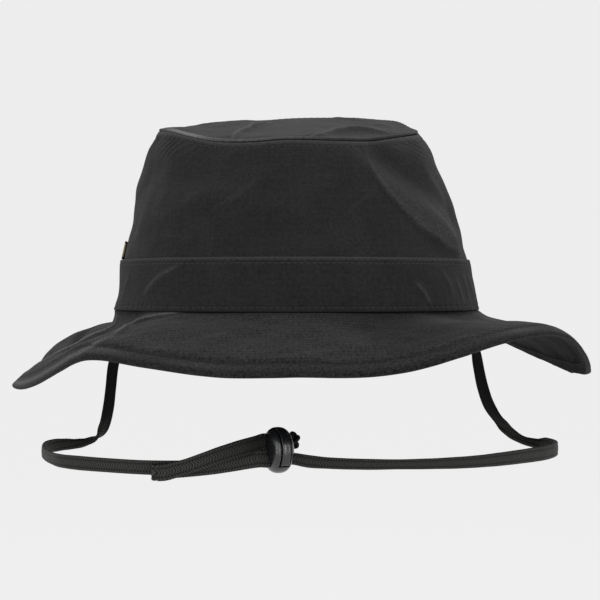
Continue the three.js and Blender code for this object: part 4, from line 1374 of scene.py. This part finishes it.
@dataclass
class Crown:
    """The crown: its wall, top panel, band, stitches and the small label."""

    oval_power: float = 2.15
    gap: float = 0.2
    wall_cloth: float = 1.5
    wall_length: float = 82.0
    wall_lean: float = 0.15
    wall_columns: int = 730
    wall_rear_relief: float = 0.7
    top_columns: int = 480
    band_columns: int = 800
    top_cloth: float = 1.5
    band_cloth: float = 1.2
    band_height: float = 23.0
    band_round: float = 50.0
    band_cloth_from: float = 110.0
    band_wear: float = 0.2
    band_edge_wear: float = 0.24
    groove: float = 0.22
    second_groove: float = 0.12
    groove_width: float = 0.45
    pucker: float = 0.1
    pucker_pitch: float = 4.6
    band_rows: tuple[float, float] = (1.2, 2.6)
    foot_row: float = 1.8
    top_middle: float = 85.2
    top_tilt: float = 0.152
    top_dome: float = 1.5
    welt: float = 0.62
    welt_swell: float = 0.25
    welt_at: float = -52.0
    welt_wear: float = 0.12
    front_wear: float = 0.42
    swell_wear: float = 0.9
    welt_pucker: float = 0.05
    welt_pitch: float = 3.6
    rim_stitch: float = 2.4
    allowance: float = 0.4
    rim_groove: float = 0.35
    rim_wear: float = 0.3
    crest_wear: float = 0.12
    wall_soft: Unevenness = Unevenness(3, (0.5, 26, 60), (0.2, 9, 18))
    label_from: float = -98.0
    label_to: float = -84.0
    label_height: float = 8.6
    label_thick: float = 0.8
    label_clear: float = 0.25
    cloth: Material | None = None
    thread: Material | None = None

    def wall_top(self, angle: Array) -> Array:
        """Height of the wall's top edge, just under the top panel."""
        return RIM.around("height", angle) - self.top_cloth - self.gap

    def fold_rise(self, angle: Array, height: Array) -> Array:
        """How far the large folds push the cloth out: bells across the lines between their ends."""
        rise = np.zeros(np.broadcast(angle, height).shape)
        for from_angle, from_height, to_angle, to_height, width, high in FOLDS.rows:
            step_x = (to_angle - from_angle) * PER_DEGREE
            step_y = to_height - from_height
            x = (angle - from_angle) * PER_DEGREE
            y = height - from_height
            share = np.clip((x * step_x + y * step_y) / (step_x**2 + step_y**2), 0, 1)
            away = np.hypot(x - share * step_x, y - share * step_y)
            rise = rise + high * bell(away, width)
        return rise

    def oval(self, angle: Array, half_width: Array, half_depth: Array) -> tuple[Array, Array]:
        """Gives points of an oval, a superellipse of power a little over 2, and the level directions
        straight out of it.

        Args:
            angle: angles round the hat.
            half_width, half_depth: half of its width and depth.

        Returns:
            Points and directions, each with x and y.
        """
        s, c = sin_cos(angle)
        scale = (np.abs(s) ** self.oval_power + np.abs(c) ** self.oval_power) ** (-1 / self.oval_power)
        point = np.stack([half_width * s * scale, -half_depth * c * scale], -1)
        out = np.stack([s / half_width, -c / half_depth], -1)
        return point, unit(out)

    def level_oval(self, angle: Array, level: Array) -> tuple[Array, Array]:
        """The oval of each level, as points and directions out of it."""
        half_width, half_depth = (CROWN_LEVELS.along(name, level) for name in ("half_width", "half_depth"))
        return self.oval(angle, half_width, half_depth)

    def point(self, angle: Array, level: Array, extra: Array | float = 0.0) -> Array:
        """Gives points of the wall's face: a level's oval, pushed out by the folds and by extra.

        Args:
            angle: angles round the hat.
            level: shares of the way from the foot to the rim.
            extra: millimetres further out.

        Returns:
            Points in millimetres.
        """
        angle, level = np.broadcast_arrays(angle, level)
        flat, out = self.level_oval(angle, level)
        height = level * self.wall_top(angle)
        flat = flat + out * (self.fold_rise(angle, height) + extra)[..., None]
        x = flat[..., 0] + CROWN_LEVELS.along("shift_x", level)
        return np.stack([x, flat[..., 1], height], -1)

    def wall_relief(self, angle: Array, level: Array) -> tuple[Array, Array]:
        """Gives creases, gathers, the raised seam allowance over its stitched groove, and unevenness.

        Args:
            angle: angles round the hat.
            level: shares of the way from the foot to the rim.

        Returns:
            The relief in millimetres and the wear from 0 to 1.
        """
        angle, level = np.broadcast_arrays(angle, level)
        top = self.wall_top(angle)
        height = level * top
        below = top - height
        relief, wear_and_shade = pressed(WALL_CREASES, angle * PER_DEGREE, height)
        relief = relief + sum(gather.relief(angle, below) for gather in GATHERS)
        seam = self.rim_stitch
        allowance = self.allowance * (1 - smooth_step(seam - 0.6, seam + 0.8, below))
        groove = -self.rim_groove * bell(below - seam, 0.5)
        soft = self.wall_soft.at(self.point(angle, level))
        shown = smooth_step(0.0, 0.12, level) * smooth_step(0.0, 5.0, below)
        rubbed = self.rim_wear * bell(below, 1.0) + self.crest_wear * np.clip(relief - 0.3, 0, 1.5)
        return relief + allowance + groove + soft * shown, np.maximum(wear_and_shade, rubbed)

    def build_wall(self) -> None:
        """Builds the wall as one closed ring: its outer skin, the turned top edge and the inner skin."""
        angle = around_front(self.wall_columns)[None]
        outer = np.linspace(0, 1, 118)[:, None]
        inner = np.linspace(1, 0, 16)[:, None]
        relief, worn = self.wall_relief(angle, outer)
        skin = self.point(angle, outer, relief)
        skin[-1, :, 2] += self.gap
        rear_relief = self.wall_relief(angle, inner)[0] * self.wall_rear_relief
        rear = self.point(angle, inner, rear_relief - self.wall_cloth)
        points = np.concatenate([skin, rear])
        wear_and_shade = np.concatenate([worn, np.zeros((len(inner), angle.shape[1]))])
        turn = np.append(angle[0], angle[0, 0] + 360)
        levels = self.wall_length * np.concatenate([outer[:, 0], 2 - inner[:, 0], [2]])
        u, v = np.meshgrid(turn * PER_DEGREE, levels)
        inside = np.zeros(points.shape[:2])
        inside[len(outer) :] = 1
        values = {"wear_and_shade": wear_and_shade, "inside": inside}
        piece = closed_band("crown_wall_cloth", points, np.stack([u, v], -1), values)
        dress(piece, self.cloth, Body.HAT, ("crown_wall",))
        level = 1 - self.rim_stitch / self.wall_top(angle[0])
        line = self.point(angle[0], level, self.wall_relief(angle[0], level)[0])
        self.stitch("rim_stitches", line, self.out_of_wall(angle[0], level))

    def out_of_wall(self, angle: Array, level: Array) -> Array:
        """Directions straight out of the wall."""
        _, out = self.level_oval(angle, level)
        return unit(np.concatenate([out, np.full(out.shape[:-1] + (1,), self.wall_lean)], -1))

    def stitch(self, name: str, line: Array, normals: Array) -> None:
        """Builds and dresses a row of stitches."""
        dress(StitchRow().build(name, line, normals), self.thread)

    def top_height(self, angle: Array, share: Array) -> Array:
        """Height of the top panel: a tilted dome that meets the rim's waves near its edge."""
        rim = self.point(angle, np.ones_like(angle))
        wave = rim[..., 2] + self.gap + self.top_cloth - self.top_middle - self.top_tilt * rim[..., 1]
        tilted = self.top_middle + self.top_tilt * rim[..., 1] * share
        return tilted + wave * share**3 + self.top_dome * (1 - share**2)

    def build_top(self) -> None:
        """Builds the top panel.

        Rings of its upper face run out from the middle, round a welt over the wall's edge, and back
        along the underside. Creases, soft unevenness and small puckers at the seam lie on both faces.
        """
        columns = self.top_columns
        angle = around_hat(columns)[None]
        rim = self.point(angle, np.ones_like(angle))
        _, rim_width, rim_depth, middle_x = CROWN_LEVELS.rows[-1]
        _, out = self.oval(angle, rim_width, rim_depth)
        reach = np.hypot(rim[..., 0] - middle_x, rim[..., 1])
        from_swell = (angle - self.welt_at + 180) % 360 - 180
        round_edge = self.welt + self.welt_swell * bell(from_swell, 26, 4)
        edge = 1 - 1.9 * round_edge / reach
        share = np.linspace(0.015, 1, 74)[:, None] ** 0.9 * edge

        def face(shares: Array, lower: float) -> tuple[Array, Array]:
            x = middle_x + (rim[..., 0] - middle_x) * shares
            y = rim[..., 1] * shares
            z = self.top_height(angle, shares)
            relief, worn = pressed(TOP_CREASES, x, y)
            places = np.stack([x, y, z], -1)
            relief = relief + 0.5 * ripples(places, 7, 24, 50) + 0.14 * ripples(places, 8, 8, 15)
            relief = relief * (1 - smooth_step(0.93, 1.0, shares))
            return np.stack([x, y, z + relief - lower], -1), worn

        upper, worn = face(share, 0.0)
        under, _ = face(share[::-1][::3], self.top_cloth)
        turn = np.linspace(math.pi / 2, -math.pi / 2, 9)[:, None]
        start = rim - np.concatenate([out * round_edge[..., None], np.zeros_like(rim[..., :1])], -1)
        height = rim[..., 2] + self.gap + self.top_cloth
        puckers = self.welt_pucker * np.cos(angle * RIM_PER_DEGREE * 2 * math.pi / self.welt_pitch)
        x, y = (start[..., i] + round_edge * np.cos(turn) * out[..., i] for i in (0, 1))
        welt = np.stack([x, y, height - round_edge + puckers + round_edge * np.sin(turn)], -1)
        points = np.concatenate([upper, welt, under])
        rows = len(points)
        faces, _ = grid_faces(rows, columns, False, True)
        poles = [[middle_x, 0, points[0, :, 2].mean()], [middle_x, 0, points[-1, :, 2].mean()]]
        ring, last = np.arange(columns), (rows - 1) * columns
        caps = np.vstack([fan(rows * columns, ring), fan(rows * columns + 1, last + ring)[:, [0, 2, 1]]])
        faces = faces[:, ::-1]
        places = np.vstack([points.reshape(-1, 3), poles])
        corners = places[np.concatenate([faces.ravel(), caps.ravel()])][:, :2]
        wear_and_shade = np.zeros(len(places))
        first = len(share) * columns
        wear_and_shade[:first] = worn.ravel()
        # The rim's edge is rubbed along the front, and most where it swells
        bright = self.welt_wear + self.front_wear * bell(angle[0] + 30, 42, 6)
        bright = bright + self.swell_wear * bell(from_swell[0] - 3, 13, 4)
        wear_and_shade[first : first + 6 * columns] = np.tile(bright, 6)
        inside = np.zeros(len(places))
        inside[first + len(turn) * columns :] = 1
        values = {"wear_and_shade": wear_and_shade, "inside": inside}
        piece = mesh_object("crown_top_cloth", places * MM, [faces, caps], corners, values)
        dress(piece, self.cloth, Body.HAT, ("crown_top",))

    def band_face(self, angle: Array, height: Array) -> tuple[Array, Array]:
        """Gives the band's face.

        It lies over the wall, with creases, a stitched groove at each edge, a second row of stitches
        under the upper edge, puckers between the stitches and soft unevenness.

        Args:
            angle: angles round the hat.
            height: heights over the crown's foot.

        Returns:
            How far it stands out over the wall's smooth form, in millimetres, and the wear.
        """
        angle, height = np.broadcast_arrays(angle, height)
        relief, wear_and_shade = pressed(BAND_CREASES, angle * PER_DEGREE, height)
        under_edge = self.band_height - height
        groove = -self.groove * bell(under_edge - self.band_rows[0], self.groove_width)
        groove = groove - self.second_groove * bell(under_edge - self.band_rows[1], self.groove_width)
        groove = groove - self.groove * bell(height - self.foot_row, self.groove_width)
        turn = np.radians(angle)
        uneven = 1.8 * np.sin(7 * turn) + 1.2 * np.sin(23 * turn + 1.0)
        pucker = np.cos(2 * math.pi * (angle * PER_DEGREE + uneven) / self.pucker_pitch)
        near = bell(height - self.foot_row, 3.0)
        near = near + 0.7 * bell(under_edge - self.band_rows[0], 2.6)
        soft = 0.3 * np.sin(9 * turn + 0.13 * height) + 0.2 * np.sin(15 * turn - 0.1 * height + 1.3)
        out = self.gap + self.band_cloth + relief + groove + self.pucker * pucker * near + 0.5 * soft
        return out, np.maximum(wear_and_shade, self.band_wear * np.clip(relief - 0.2, 0, 0.5))

    def build_band(self) -> None:
        """Builds the band as one closed ring: its face, round folded edges and back, and its stitches."""
        angle = around_front(self.band_columns)[None]
        fold = self.band_cloth / 2
        face_height = np.linspace(fold, self.band_height - fold, 34)[:, None]
        back_height = face_height[::-1][::4]
        top = self.wall_top(angle)
        half_turn = np.linspace(0, math.pi, 7)[1:-1, None]

        def edge(height: float, sign: int) -> Array:
            level = (height + sign * fold * np.sin(half_turn)) / top
            base = self.band_face(angle, np.full_like(half_turn, height))[0]
            return self.point(angle, level, base - fold + fold * np.cos(half_turn))

        out, worn = self.band_face(angle, face_height)
        face = self.point(angle, face_height / top, out)
        back = self.point(angle, back_height / top, self.band_face(angle, back_height)[0] - self.band_cloth)
        upper = edge(self.band_height - fold, 1)
        lower = edge(fold, -1)[::-1]
        points = np.concatenate([face, upper, back, lower])
        turn = np.append(angle[0], angle[0, 0] + 360)
        lengths = np.linspace(0, self.band_round, points.shape[0] + 1)
        lengths[: len(face_height)] = face_height[:, 0]
        u, v = np.meshgrid(turn * PER_DEGREE, lengths + self.band_cloth_from)
        wear_and_shade = np.zeros(points.shape[:2])
        wear_and_shade[: len(face_height)] = worn
        wear_and_shade[len(face_height) - 1 : len(face_height) + 4] = self.band_edge_wear
        piece = closed_band("crown_band_cloth", points, np.stack([u, v], -1), {"wear_and_shade": wear_and_shade})
        dress(piece, self.cloth, Body.HAT, ("crown_band",))
        rows = (
            ("band_top_stitches", self.band_height - self.band_rows[0]),
            ("band_second_stitches", self.band_height - self.band_rows[1]),
            ("band_foot_stitches", self.foot_row),
        )
        for name, height in rows:
            level = height / top[0]
            line = self.point(angle[0], level, self.band_face(angle[0], np.full_like(top[0], height))[0])
            self.stitch(name, line, self.out_of_wall(angle[0], level))

    def build_label(self) -> None:
        """Builds the label, a flat strip carried round the wall just over the band."""
        angle = np.linspace(self.label_from, self.label_to, 60)
        top = self.wall_top(angle)
        low = (self.band_height + self.gap) / top
        high = (self.band_height + self.gap + self.label_height) / top
        out = self.gap + self.label_thick / 2 + self.label_clear
        foot, head = self.point(angle, low, out), self.point(angle, high, out)
        route = Route((foot + head) / 2, head - foot, np.full(len(angle), self.label_height))
        piece = FlatStrip(self.label_thick, corner=8.0, relief=0.0).carry("side_label_weave", route)
        dress(piece, WovenLabel().build(), Body.HAT, ("side_label",))

    def build(self) -> None:
        """Builds the crown's pieces from the wall out."""
        self.build_wall()
        self.build_top()
        self.build_band()
        self.build_label()


# Brim

BRIM_DROP = Table(
    ("at", "drop"),
    (
        (-180, 23.0), (-165, 18.2), (-150, 14.0), (-135, 11.6), (-122, 16.8), (-110, 27.0), (-100, 31.6),
        (-90, 33.0), (-75, 33.0), (-62, 32.2), (-52, 29.0), (-43, 23.2), (-36, 17.8), (-31, 17.2),
        (-24, 19.3), (-12, 22.6), (0, 22.4), (10, 22.5), (17, 20.5), (25, 15.2), (34, 9.4), (43, 7.4),
        (49, 9.2), (55, 14.6), (64, 22.8), (75, 27.6), (88, 30.0), (100, 29.8), (112, 27.0), (123, 22.4),
        (132, 16.8), (142, 12.2), (152, 12.2), (166, 17.2),
    ),
)
BRIM_FORM = Table(
    ("at", "width", "curl", "root", "lip"),
    (
        (-180, 61.0, 12, 10, 14), (-150, 60.0, 16, 16, 10), (-125, 58.6, 18, 34, 2),
        (-100, 59.0, 14, 84, 0), (-88, 59.6, 14, 84, 4), (-75, 59.0, 20, 66, 14),
        (-60, 60.0, 24, 46, 34), (-40, 60.8, 18, 12, 44), (-15, 61.0, 6, 8, 36), (0, 61.0, 3, 6, 32),
        (15, 61.2, 6, 8, 32), (33, 61.4, 10, 26, 28), (43, 61.6, 14, 38, 24), (50, 62.0, 36, 46, 12),
        (58, 62.4, 66, 54, 2), (70, 63.0, 92, 52, 0), (82, 63.2, 104, 40, 0), (95, 63.0, 96, 38, 0),
        (112, 62.6, 60, 36, 0), (135, 61.6, 24, 24, 8), (160, 61.4, 16, 14, 14),
    ),
)

BRIM_ROOT_RADIUS = 93.0
BRIM_SPREAD = 55.0
BRIM_REACH = 60.0


def brim_plane(angle: Array, share: Array) -> tuple[Array, Array]:
    """Place in the brim's unrolled plane, in millimetres: round the hat, and out from the crown."""
    return np.radians(angle) * (BRIM_ROOT_RADIUS + BRIM_SPREAD * share), BRIM_REACH * share


def fanned(*places: tuple[float, float]) -> Rows:
    """Turns places given as angle and share of the brim's width to its unrolled plane."""
    return tuple(brim_plane(angle, share) for angle, share in places)


# The brim's folds run out from the crown
BRIM_CREASES = (
    Crease(fanned((-72, 0.04), (-67, 0.12), (-62.4, 0.27), (-60.3, 0.4), (-58.8, 0.55), (-59, 0.65),
        (-61, 0.74), (-66, 0.86)), 1.6, 1.5, 5.0, 1.3, 1.5),
    Crease(fanned((-68, 0.1), (-63.4, 0.22), (-60.8, 0.36), (-59, 0.5)), 1.5, 2.0, 4.0, 1.3, 1.4),
    # A valley behind the far left fold, with shade painted into it by a wear below 0.
    Crease(fanned((-128, 0.86), (-124, 0.79), (-120, 0.74), (-116, 0.7), (-111, 0.62), (-106, 0.52)),
        -1.8, 2.0, 3.0, -1.0, 2.4),
    Crease(fanned((-34, 0.01), (-37, 0.06), (-41, 0.09), (-44.2, 0.12), (-45, 0.19), (-42, 0.3),
        (-36, 0.53), (-33.2, 0.77)), 1.8, 6.0, 2.0, 0.75),
    Crease(fanned((-33.2, 0.72), (-32.8, 0.86), (-34.2, 0.93), (-36.8, 0.96), (-44.5, 0.97), (-58, 0.97),
        (-76, 0.975)), 0.5, 3.0, 1.4, 0.8, 1.1),
    Crease(fanned((-57, 0.3), (-51, 0.38), (-45, 0.47)), 0.6, 2.2, 1.6, 0.3),
    Crease(fanned((-56, 0.05), (-54, 0.4), (-53, 0.75)), -0.9, 6.0, 6.0),
    Crease(fanned((-90, 0.02), (-90, 0.98)), 0.7, 2.5, 2.5),
    Crease(fanned((90, 0.02), (90, 0.98)), 0.7, 2.5, 2.5),
    Crease(fanned((36, 0.1), (42, 0.5), (44, 0.9)), 0.8, 6.0, 6.0),
    Crease(fanned((-12, 0.1), (-15, 0.45), (-16, 0.8)), 0.6, 7.0, 7.0),
    Crease(fanned((20, 0.15), (23, 0.5), (26, 0.8)), -0.5, 6.0, 6.0),
    Crease(fanned((150, 0.1), (154, 0.9)), 0.9, 6.0, 5.0),
    Crease(fanned((-140, 0.1), (-143, 0.9)), 0.9, 5.0, 6.0),
)


@dataclass
class Brim:
    """The waved brim with its turned hem, and a seam allowance that stands up behind the crown's foot."""

    foot: tuple[float, float] = (84.6, 101.6)
    inner: tuple[float, float] = (81.6, 98.7)
    allowance_height: float = 2.2
    allowance_lean: float = 1.6
    allowance_cloth: float = 1.1
    gap: float = 0.3
    thick: float = 1.4
    hem_extra: float = 0.7
    hem_wear: float = 0.09
    hem_faded: Rows = ((0.27, -32, 6), (0.1, -15, 5), (0.22, 37, 4))
    # Strength of the shade painted into the hollow at the front right.
    hollow_shade: float = 0.65
    side_wear: float = 0.2
    soft: Unevenness = Unevenness(11, (0.42, 20, 48), (0.16, 7, 14))
    groove: float = 0.22
    pucker: float = 0.03
    pucker_pitch: float = 5.2
    edge_per_degree: float = 2.5
    hem_width: float = 6.2
    hem_stitch: float = 5.2
    curl_power: float = 3.0
    root_power: float = 5.0
    lip_from: float = 0.83
    lip_to: float = 0.96
    edge_flat: float = 0.8
    steps: int = 120
    columns: int = 830
    hem_from: float = 0.9
    hem_stretch: float = 140.0
    warp_draw: float = 0.3
    cloth: Material | None = None
    thread: Material | None = None

    def profile(self, angle: Array) -> tuple[Array, Array]:
        """Gives the brim's section at each angle.

        The cloth leans down from the crown by an angle that brings its edge to the table's drop. It
        starts steeper by the root and bends further down towards the edge by the curl, each as a
        power of the way along it, and the hem bends down once more by the lip. Adding up short
        steps gives its reach and drop.

        Args:
            angle: angles round the hat.

        Returns:
            Reach from the crown's foot and drop below it, rows from the foot to the edge.
        """
        width = BRIM_FORM.around("width", angle)
        curl = np.radians(BRIM_FORM.around("curl", angle))
        root = np.radians(BRIM_FORM.around("root", angle))
        share = ((np.arange(self.steps) + 0.5) / self.steps)[:, None]
        bend = curl * (share**self.curl_power - 1 / (self.curl_power + 1))
        bend = bend + root * ((1 - share) ** self.root_power - 1 / (self.root_power + 1))
        turned = smooth_step(self.lip_from, self.lip_to, share)
        bend = bend + np.radians(BRIM_FORM.around("lip", angle)) * (turned - turned.mean())
        mean_cos, mean_sin = np.cos(bend).mean(0), np.sin(bend).mean(0)
        chord = width * np.hypot(mean_cos, mean_sin)
        lean = np.arcsin(BRIM_DROP.around("drop", angle) / chord) - np.arctan2(mean_sin, mean_cos)
        step = width / self.steps
        zero = np.zeros((1, len(angle)))
        reach = np.concatenate([zero, np.cumsum(step * np.cos(lean + bend), axis=0)])
        drop = np.concatenate([zero, np.cumsum(step * np.sin(lean + bend), axis=0)])
        return reach, drop

    def relief(self, angle: Array, share: Array, width: Array) -> tuple[Array, Array]:
        """Gives how far folds, puckers and soft unevenness lift the cloth, and how worn it is.

        The hem is a little faded all round, and most at the front left. Shade is painted into the brim's
        hollow at the front right, and the brim has faded where it hangs at the right.

        Args:
            angle: angles round the hat.
            share: shares of the width from the crown.
            width: the brim's width at the angles.

        Returns:
            The lift in millimetres, and the wear up to 1, below 0 where shade is painted.
        """
        angle, share, width = np.broadcast_arrays(angle, share, width)
        lift, wear_and_shade = pressed(BRIM_CREASES, *brim_plane(angle, share))
        turn = np.radians(angle)
        radius = BRIM_ROOT_RADIUS + BRIM_SPREAD * share
        flat = np.stack([radius * np.sin(turn), radius * np.cos(turn), 0 * radius], -1)
        soft = self.soft.at(flat)
        lift = lift + soft * smooth_step(0, 0.15, share) * (1 - 0.6 * smooth_step(0.85, 1, share))
        inside = width * (1 - share)
        groove = -self.groove * bell(inside - self.hem_stitch, 0.5)
        uneven = 2.0 * np.sin(9 * turn) + 1.4 * np.sin(31 * turn + 1.0)
        pucker = np.cos(2 * math.pi * (angle * self.edge_per_degree + uneven) / self.pucker_pitch)
        near = bell(inside - self.hem_stitch, 3.4)
        faded = self.hem_wear
        for wear_there, middle, reach in self.hem_faded:
            faded = faded + wear_there * bell(angle - middle, reach)
        faded = faded * (1 - smooth_step(4.0, 4.9, inside)) * smooth_step(0.8, 2.8, inside)
        # Shade painted into the hollow at the front right, less the fading at the right side.
        darkened = self.hollow_shade * bell(angle - 24, 11, 4) * smooth_step(6, 12, inside)
        darkened = darkened - self.side_wear * bell(angle - 78, 12) * (1 + soft)
        wear_and_shade = wear_and_shade + (1 - np.minimum(3 * np.abs(wear_and_shade), 1)) * (faded - darkened)
        return lift + groove + self.pucker * pucker * near, wear_and_shade

    def section(self, angle: Array, share: Array) -> tuple[Array, Array, Array]:
        """Gives the upper face of the brim with its relief, the directions out of it and the width.

        Args:
            angle: angles round the hat, one row.
            share: shares of the width, one column.

        Returns:
            Points, normals and the width at each angle.
        """
        reach, drop = self.profile(angle[0])
        width = BRIM_FORM.around("width", angle)
        at = share[:, 0] * self.steps
        low = np.clip(np.floor(at).astype(int), 0, self.steps - 1)
        part = (at - low)[:, None]
        reached = reach[low] * (1 - part) + reach[low + 1] * part
        dropped = drop[low] * (1 - part) + drop[low + 1] * part
        slope = np.arctan2(drop[low + 1] - drop[low], reach[low + 1] - reach[low])
        s, c = sin_cos(angle)
        out = unit(np.stack([s / self.foot[0], -c / self.foot[1]], -1))
        x = self.foot[0] * s + out[..., 0] * reached
        y = -self.foot[1] * c + out[..., 1] * reached
        base = np.stack([x, y, -self.gap - dropped], -1)
        normal = np.stack([np.sin(slope) * out[..., 0], np.sin(slope) * out[..., 1], np.cos(slope)], -1)
        lift, _ = self.relief(angle, share, width)
        return base + normal * lift[..., None], normal, width

    def ledge(self, angle: Array, inward: float, height: float) -> Array:
        """Points of the brim's seam allowance, which is turned up behind the crown's foot."""
        s, c = sin_cos(angle)
        half_width, half_depth = self.inner[0] - inward, self.inner[1] - inward
        return np.stack([half_width * s, -half_depth * c, np.full_like(s, height)], -1)

    def build(self) -> None:
        """Builds the brim as one closed ring, and the hem's stitches on both faces.

        From the seam allowance the upper face runs out, a half circle turns it round at the edge, and
        the under face runs back, lower by the cloth's thickness, with the hem a step thicker. The
        cloth's grain is drawn long along its warp, which runs from front to back.
        """
        angle = around_front(self.columns)[None]
        out_share = np.linspace(0, 1, 84)[:, None]
        back_share = np.concatenate([np.linspace(1, 0.84, 11), np.linspace(0.82, 0, 14)])[:, None]
        top, normal, width = self.section(angle, out_share)
        under, under_normal, _ = self.section(angle, back_share)
        inside = width * (1 - back_share)
        hem = self.hem_extra * (1 - smooth_step(self.hem_width - 2.6, self.hem_width + 2.6, inside))
        thick = self.thick + hem
        under = under - under_normal * thick[..., None]
        half = (self.thick + self.hem_extra) / 2
        turn = np.linspace(math.pi / 2, -math.pi / 2, 9)[1:-1, None, None]
        edge_normal = normal[-1:]
        ahead = unit(np.cross(edge_normal, np.cross(self.level_out(angle), edge_normal)))
        centre = top[-1:] - edge_normal * half
        edge = centre + half * (np.sin(turn) * edge_normal + self.edge_flat * np.cos(turn) * ahead)
        allowance = [
            self.ledge(angle, self.allowance_lean + self.allowance_cloth, self.allowance_height),
            self.ledge(angle, self.allowance_lean, self.allowance_height),
            self.ledge(angle, 0.0, -self.gap),
        ]
        foot_under = self.ledge(angle, self.allowance_cloth, -self.gap - self.thick)
        points = np.concatenate([*allowance, top, edge, under, foot_under])
        first = len(allowance)
        wear_and_shade = np.zeros(points.shape[:2])
        wear_and_shade[first : first + len(out_share)] = self.relief(angle, out_share, width)[1]
        inside = np.zeros(points.shape[:2])
        inside[:first] = 1
        inside[-1 - len(back_share) :] = 1
        edge_share = np.linspace(1, 1.03, 7)
        share = np.concatenate([[0] * first, out_share[:, 0], edge_share, back_share[:, 0], [0, 0]])
        hem_stretch = self.hem_stretch * np.maximum(share - self.hem_from, 0)
        radial = BRIM_ROOT_RADIUS + BRIM_REACH * share + hem_stretch
        round_angle = np.radians(np.append(angle[0], angle[0, 0] + 360))
        radial = radial[:, None]
        warp = radial * np.cos(round_angle) * self.warp_draw
        cloth = np.stack([radial * np.sin(round_angle), warp], -1)
        piece = closed_band("brim_cloth", points, cloth, {"wear_and_shade": wear_and_shade, "inside": inside})
        dress(piece, self.cloth, Body.HAT, ("brim",))
        self.build_stitches(angle)

    def level_out(self, angle: Array) -> Array:
        """Level directions straight out from the crown's foot."""
        s, c = sin_cos(angle)
        return unit(np.stack([s / self.foot[0], -c / self.foot[1], 0 * s], -1))

    def build_stitches(self, angle: Array) -> None:
        """Builds the hem's stitches above and below."""
        width = float(np.mean(BRIM_FORM.column("width")))
        share = np.array([[1 - self.hem_stitch / width]])
        line, normal, _ = self.section(angle, share)
        dress(StitchRow().build("hem_upper_stitches", line[0], normal[0]), self.thread)
        below = line - normal * (self.thick + self.hem_extra)
        dress(StitchRow().build("hem_under_stitches", below[0], -normal[0]), self.thread)


def main() -> None:
    """Builds the camera and the cord first, then the lock, the crown and the brim."""
    logging.basicConfig(level=logging.INFO, format="%(name)s: %(message)s")
    Studio().build()
    ChinCord().build()
    CordLock().build()
    cloth, thread = RipstopCotton().build(), SpunThread().build()
    Crown(cloth=cloth, thread=thread).build()
    # The brim's cloth is the crown's cotton painted darker, as shade, with a finer and stronger grain.
    flat = RipstopCotton(
        name="washed_cotton_ripstop_shaded",
        colour="#191919",
        faded="#1f1f1f",
        inside="#121212",
        grain=1.0,
        contrast=1.0,
    )
    dark_thread = SpunThread(name="spun_polyester_thread_dark", colour="#1d1d1d").build()
    Brim(cloth=flat.build(), thread=dark_thread).build()


if __name__ == "__main__":
    main()
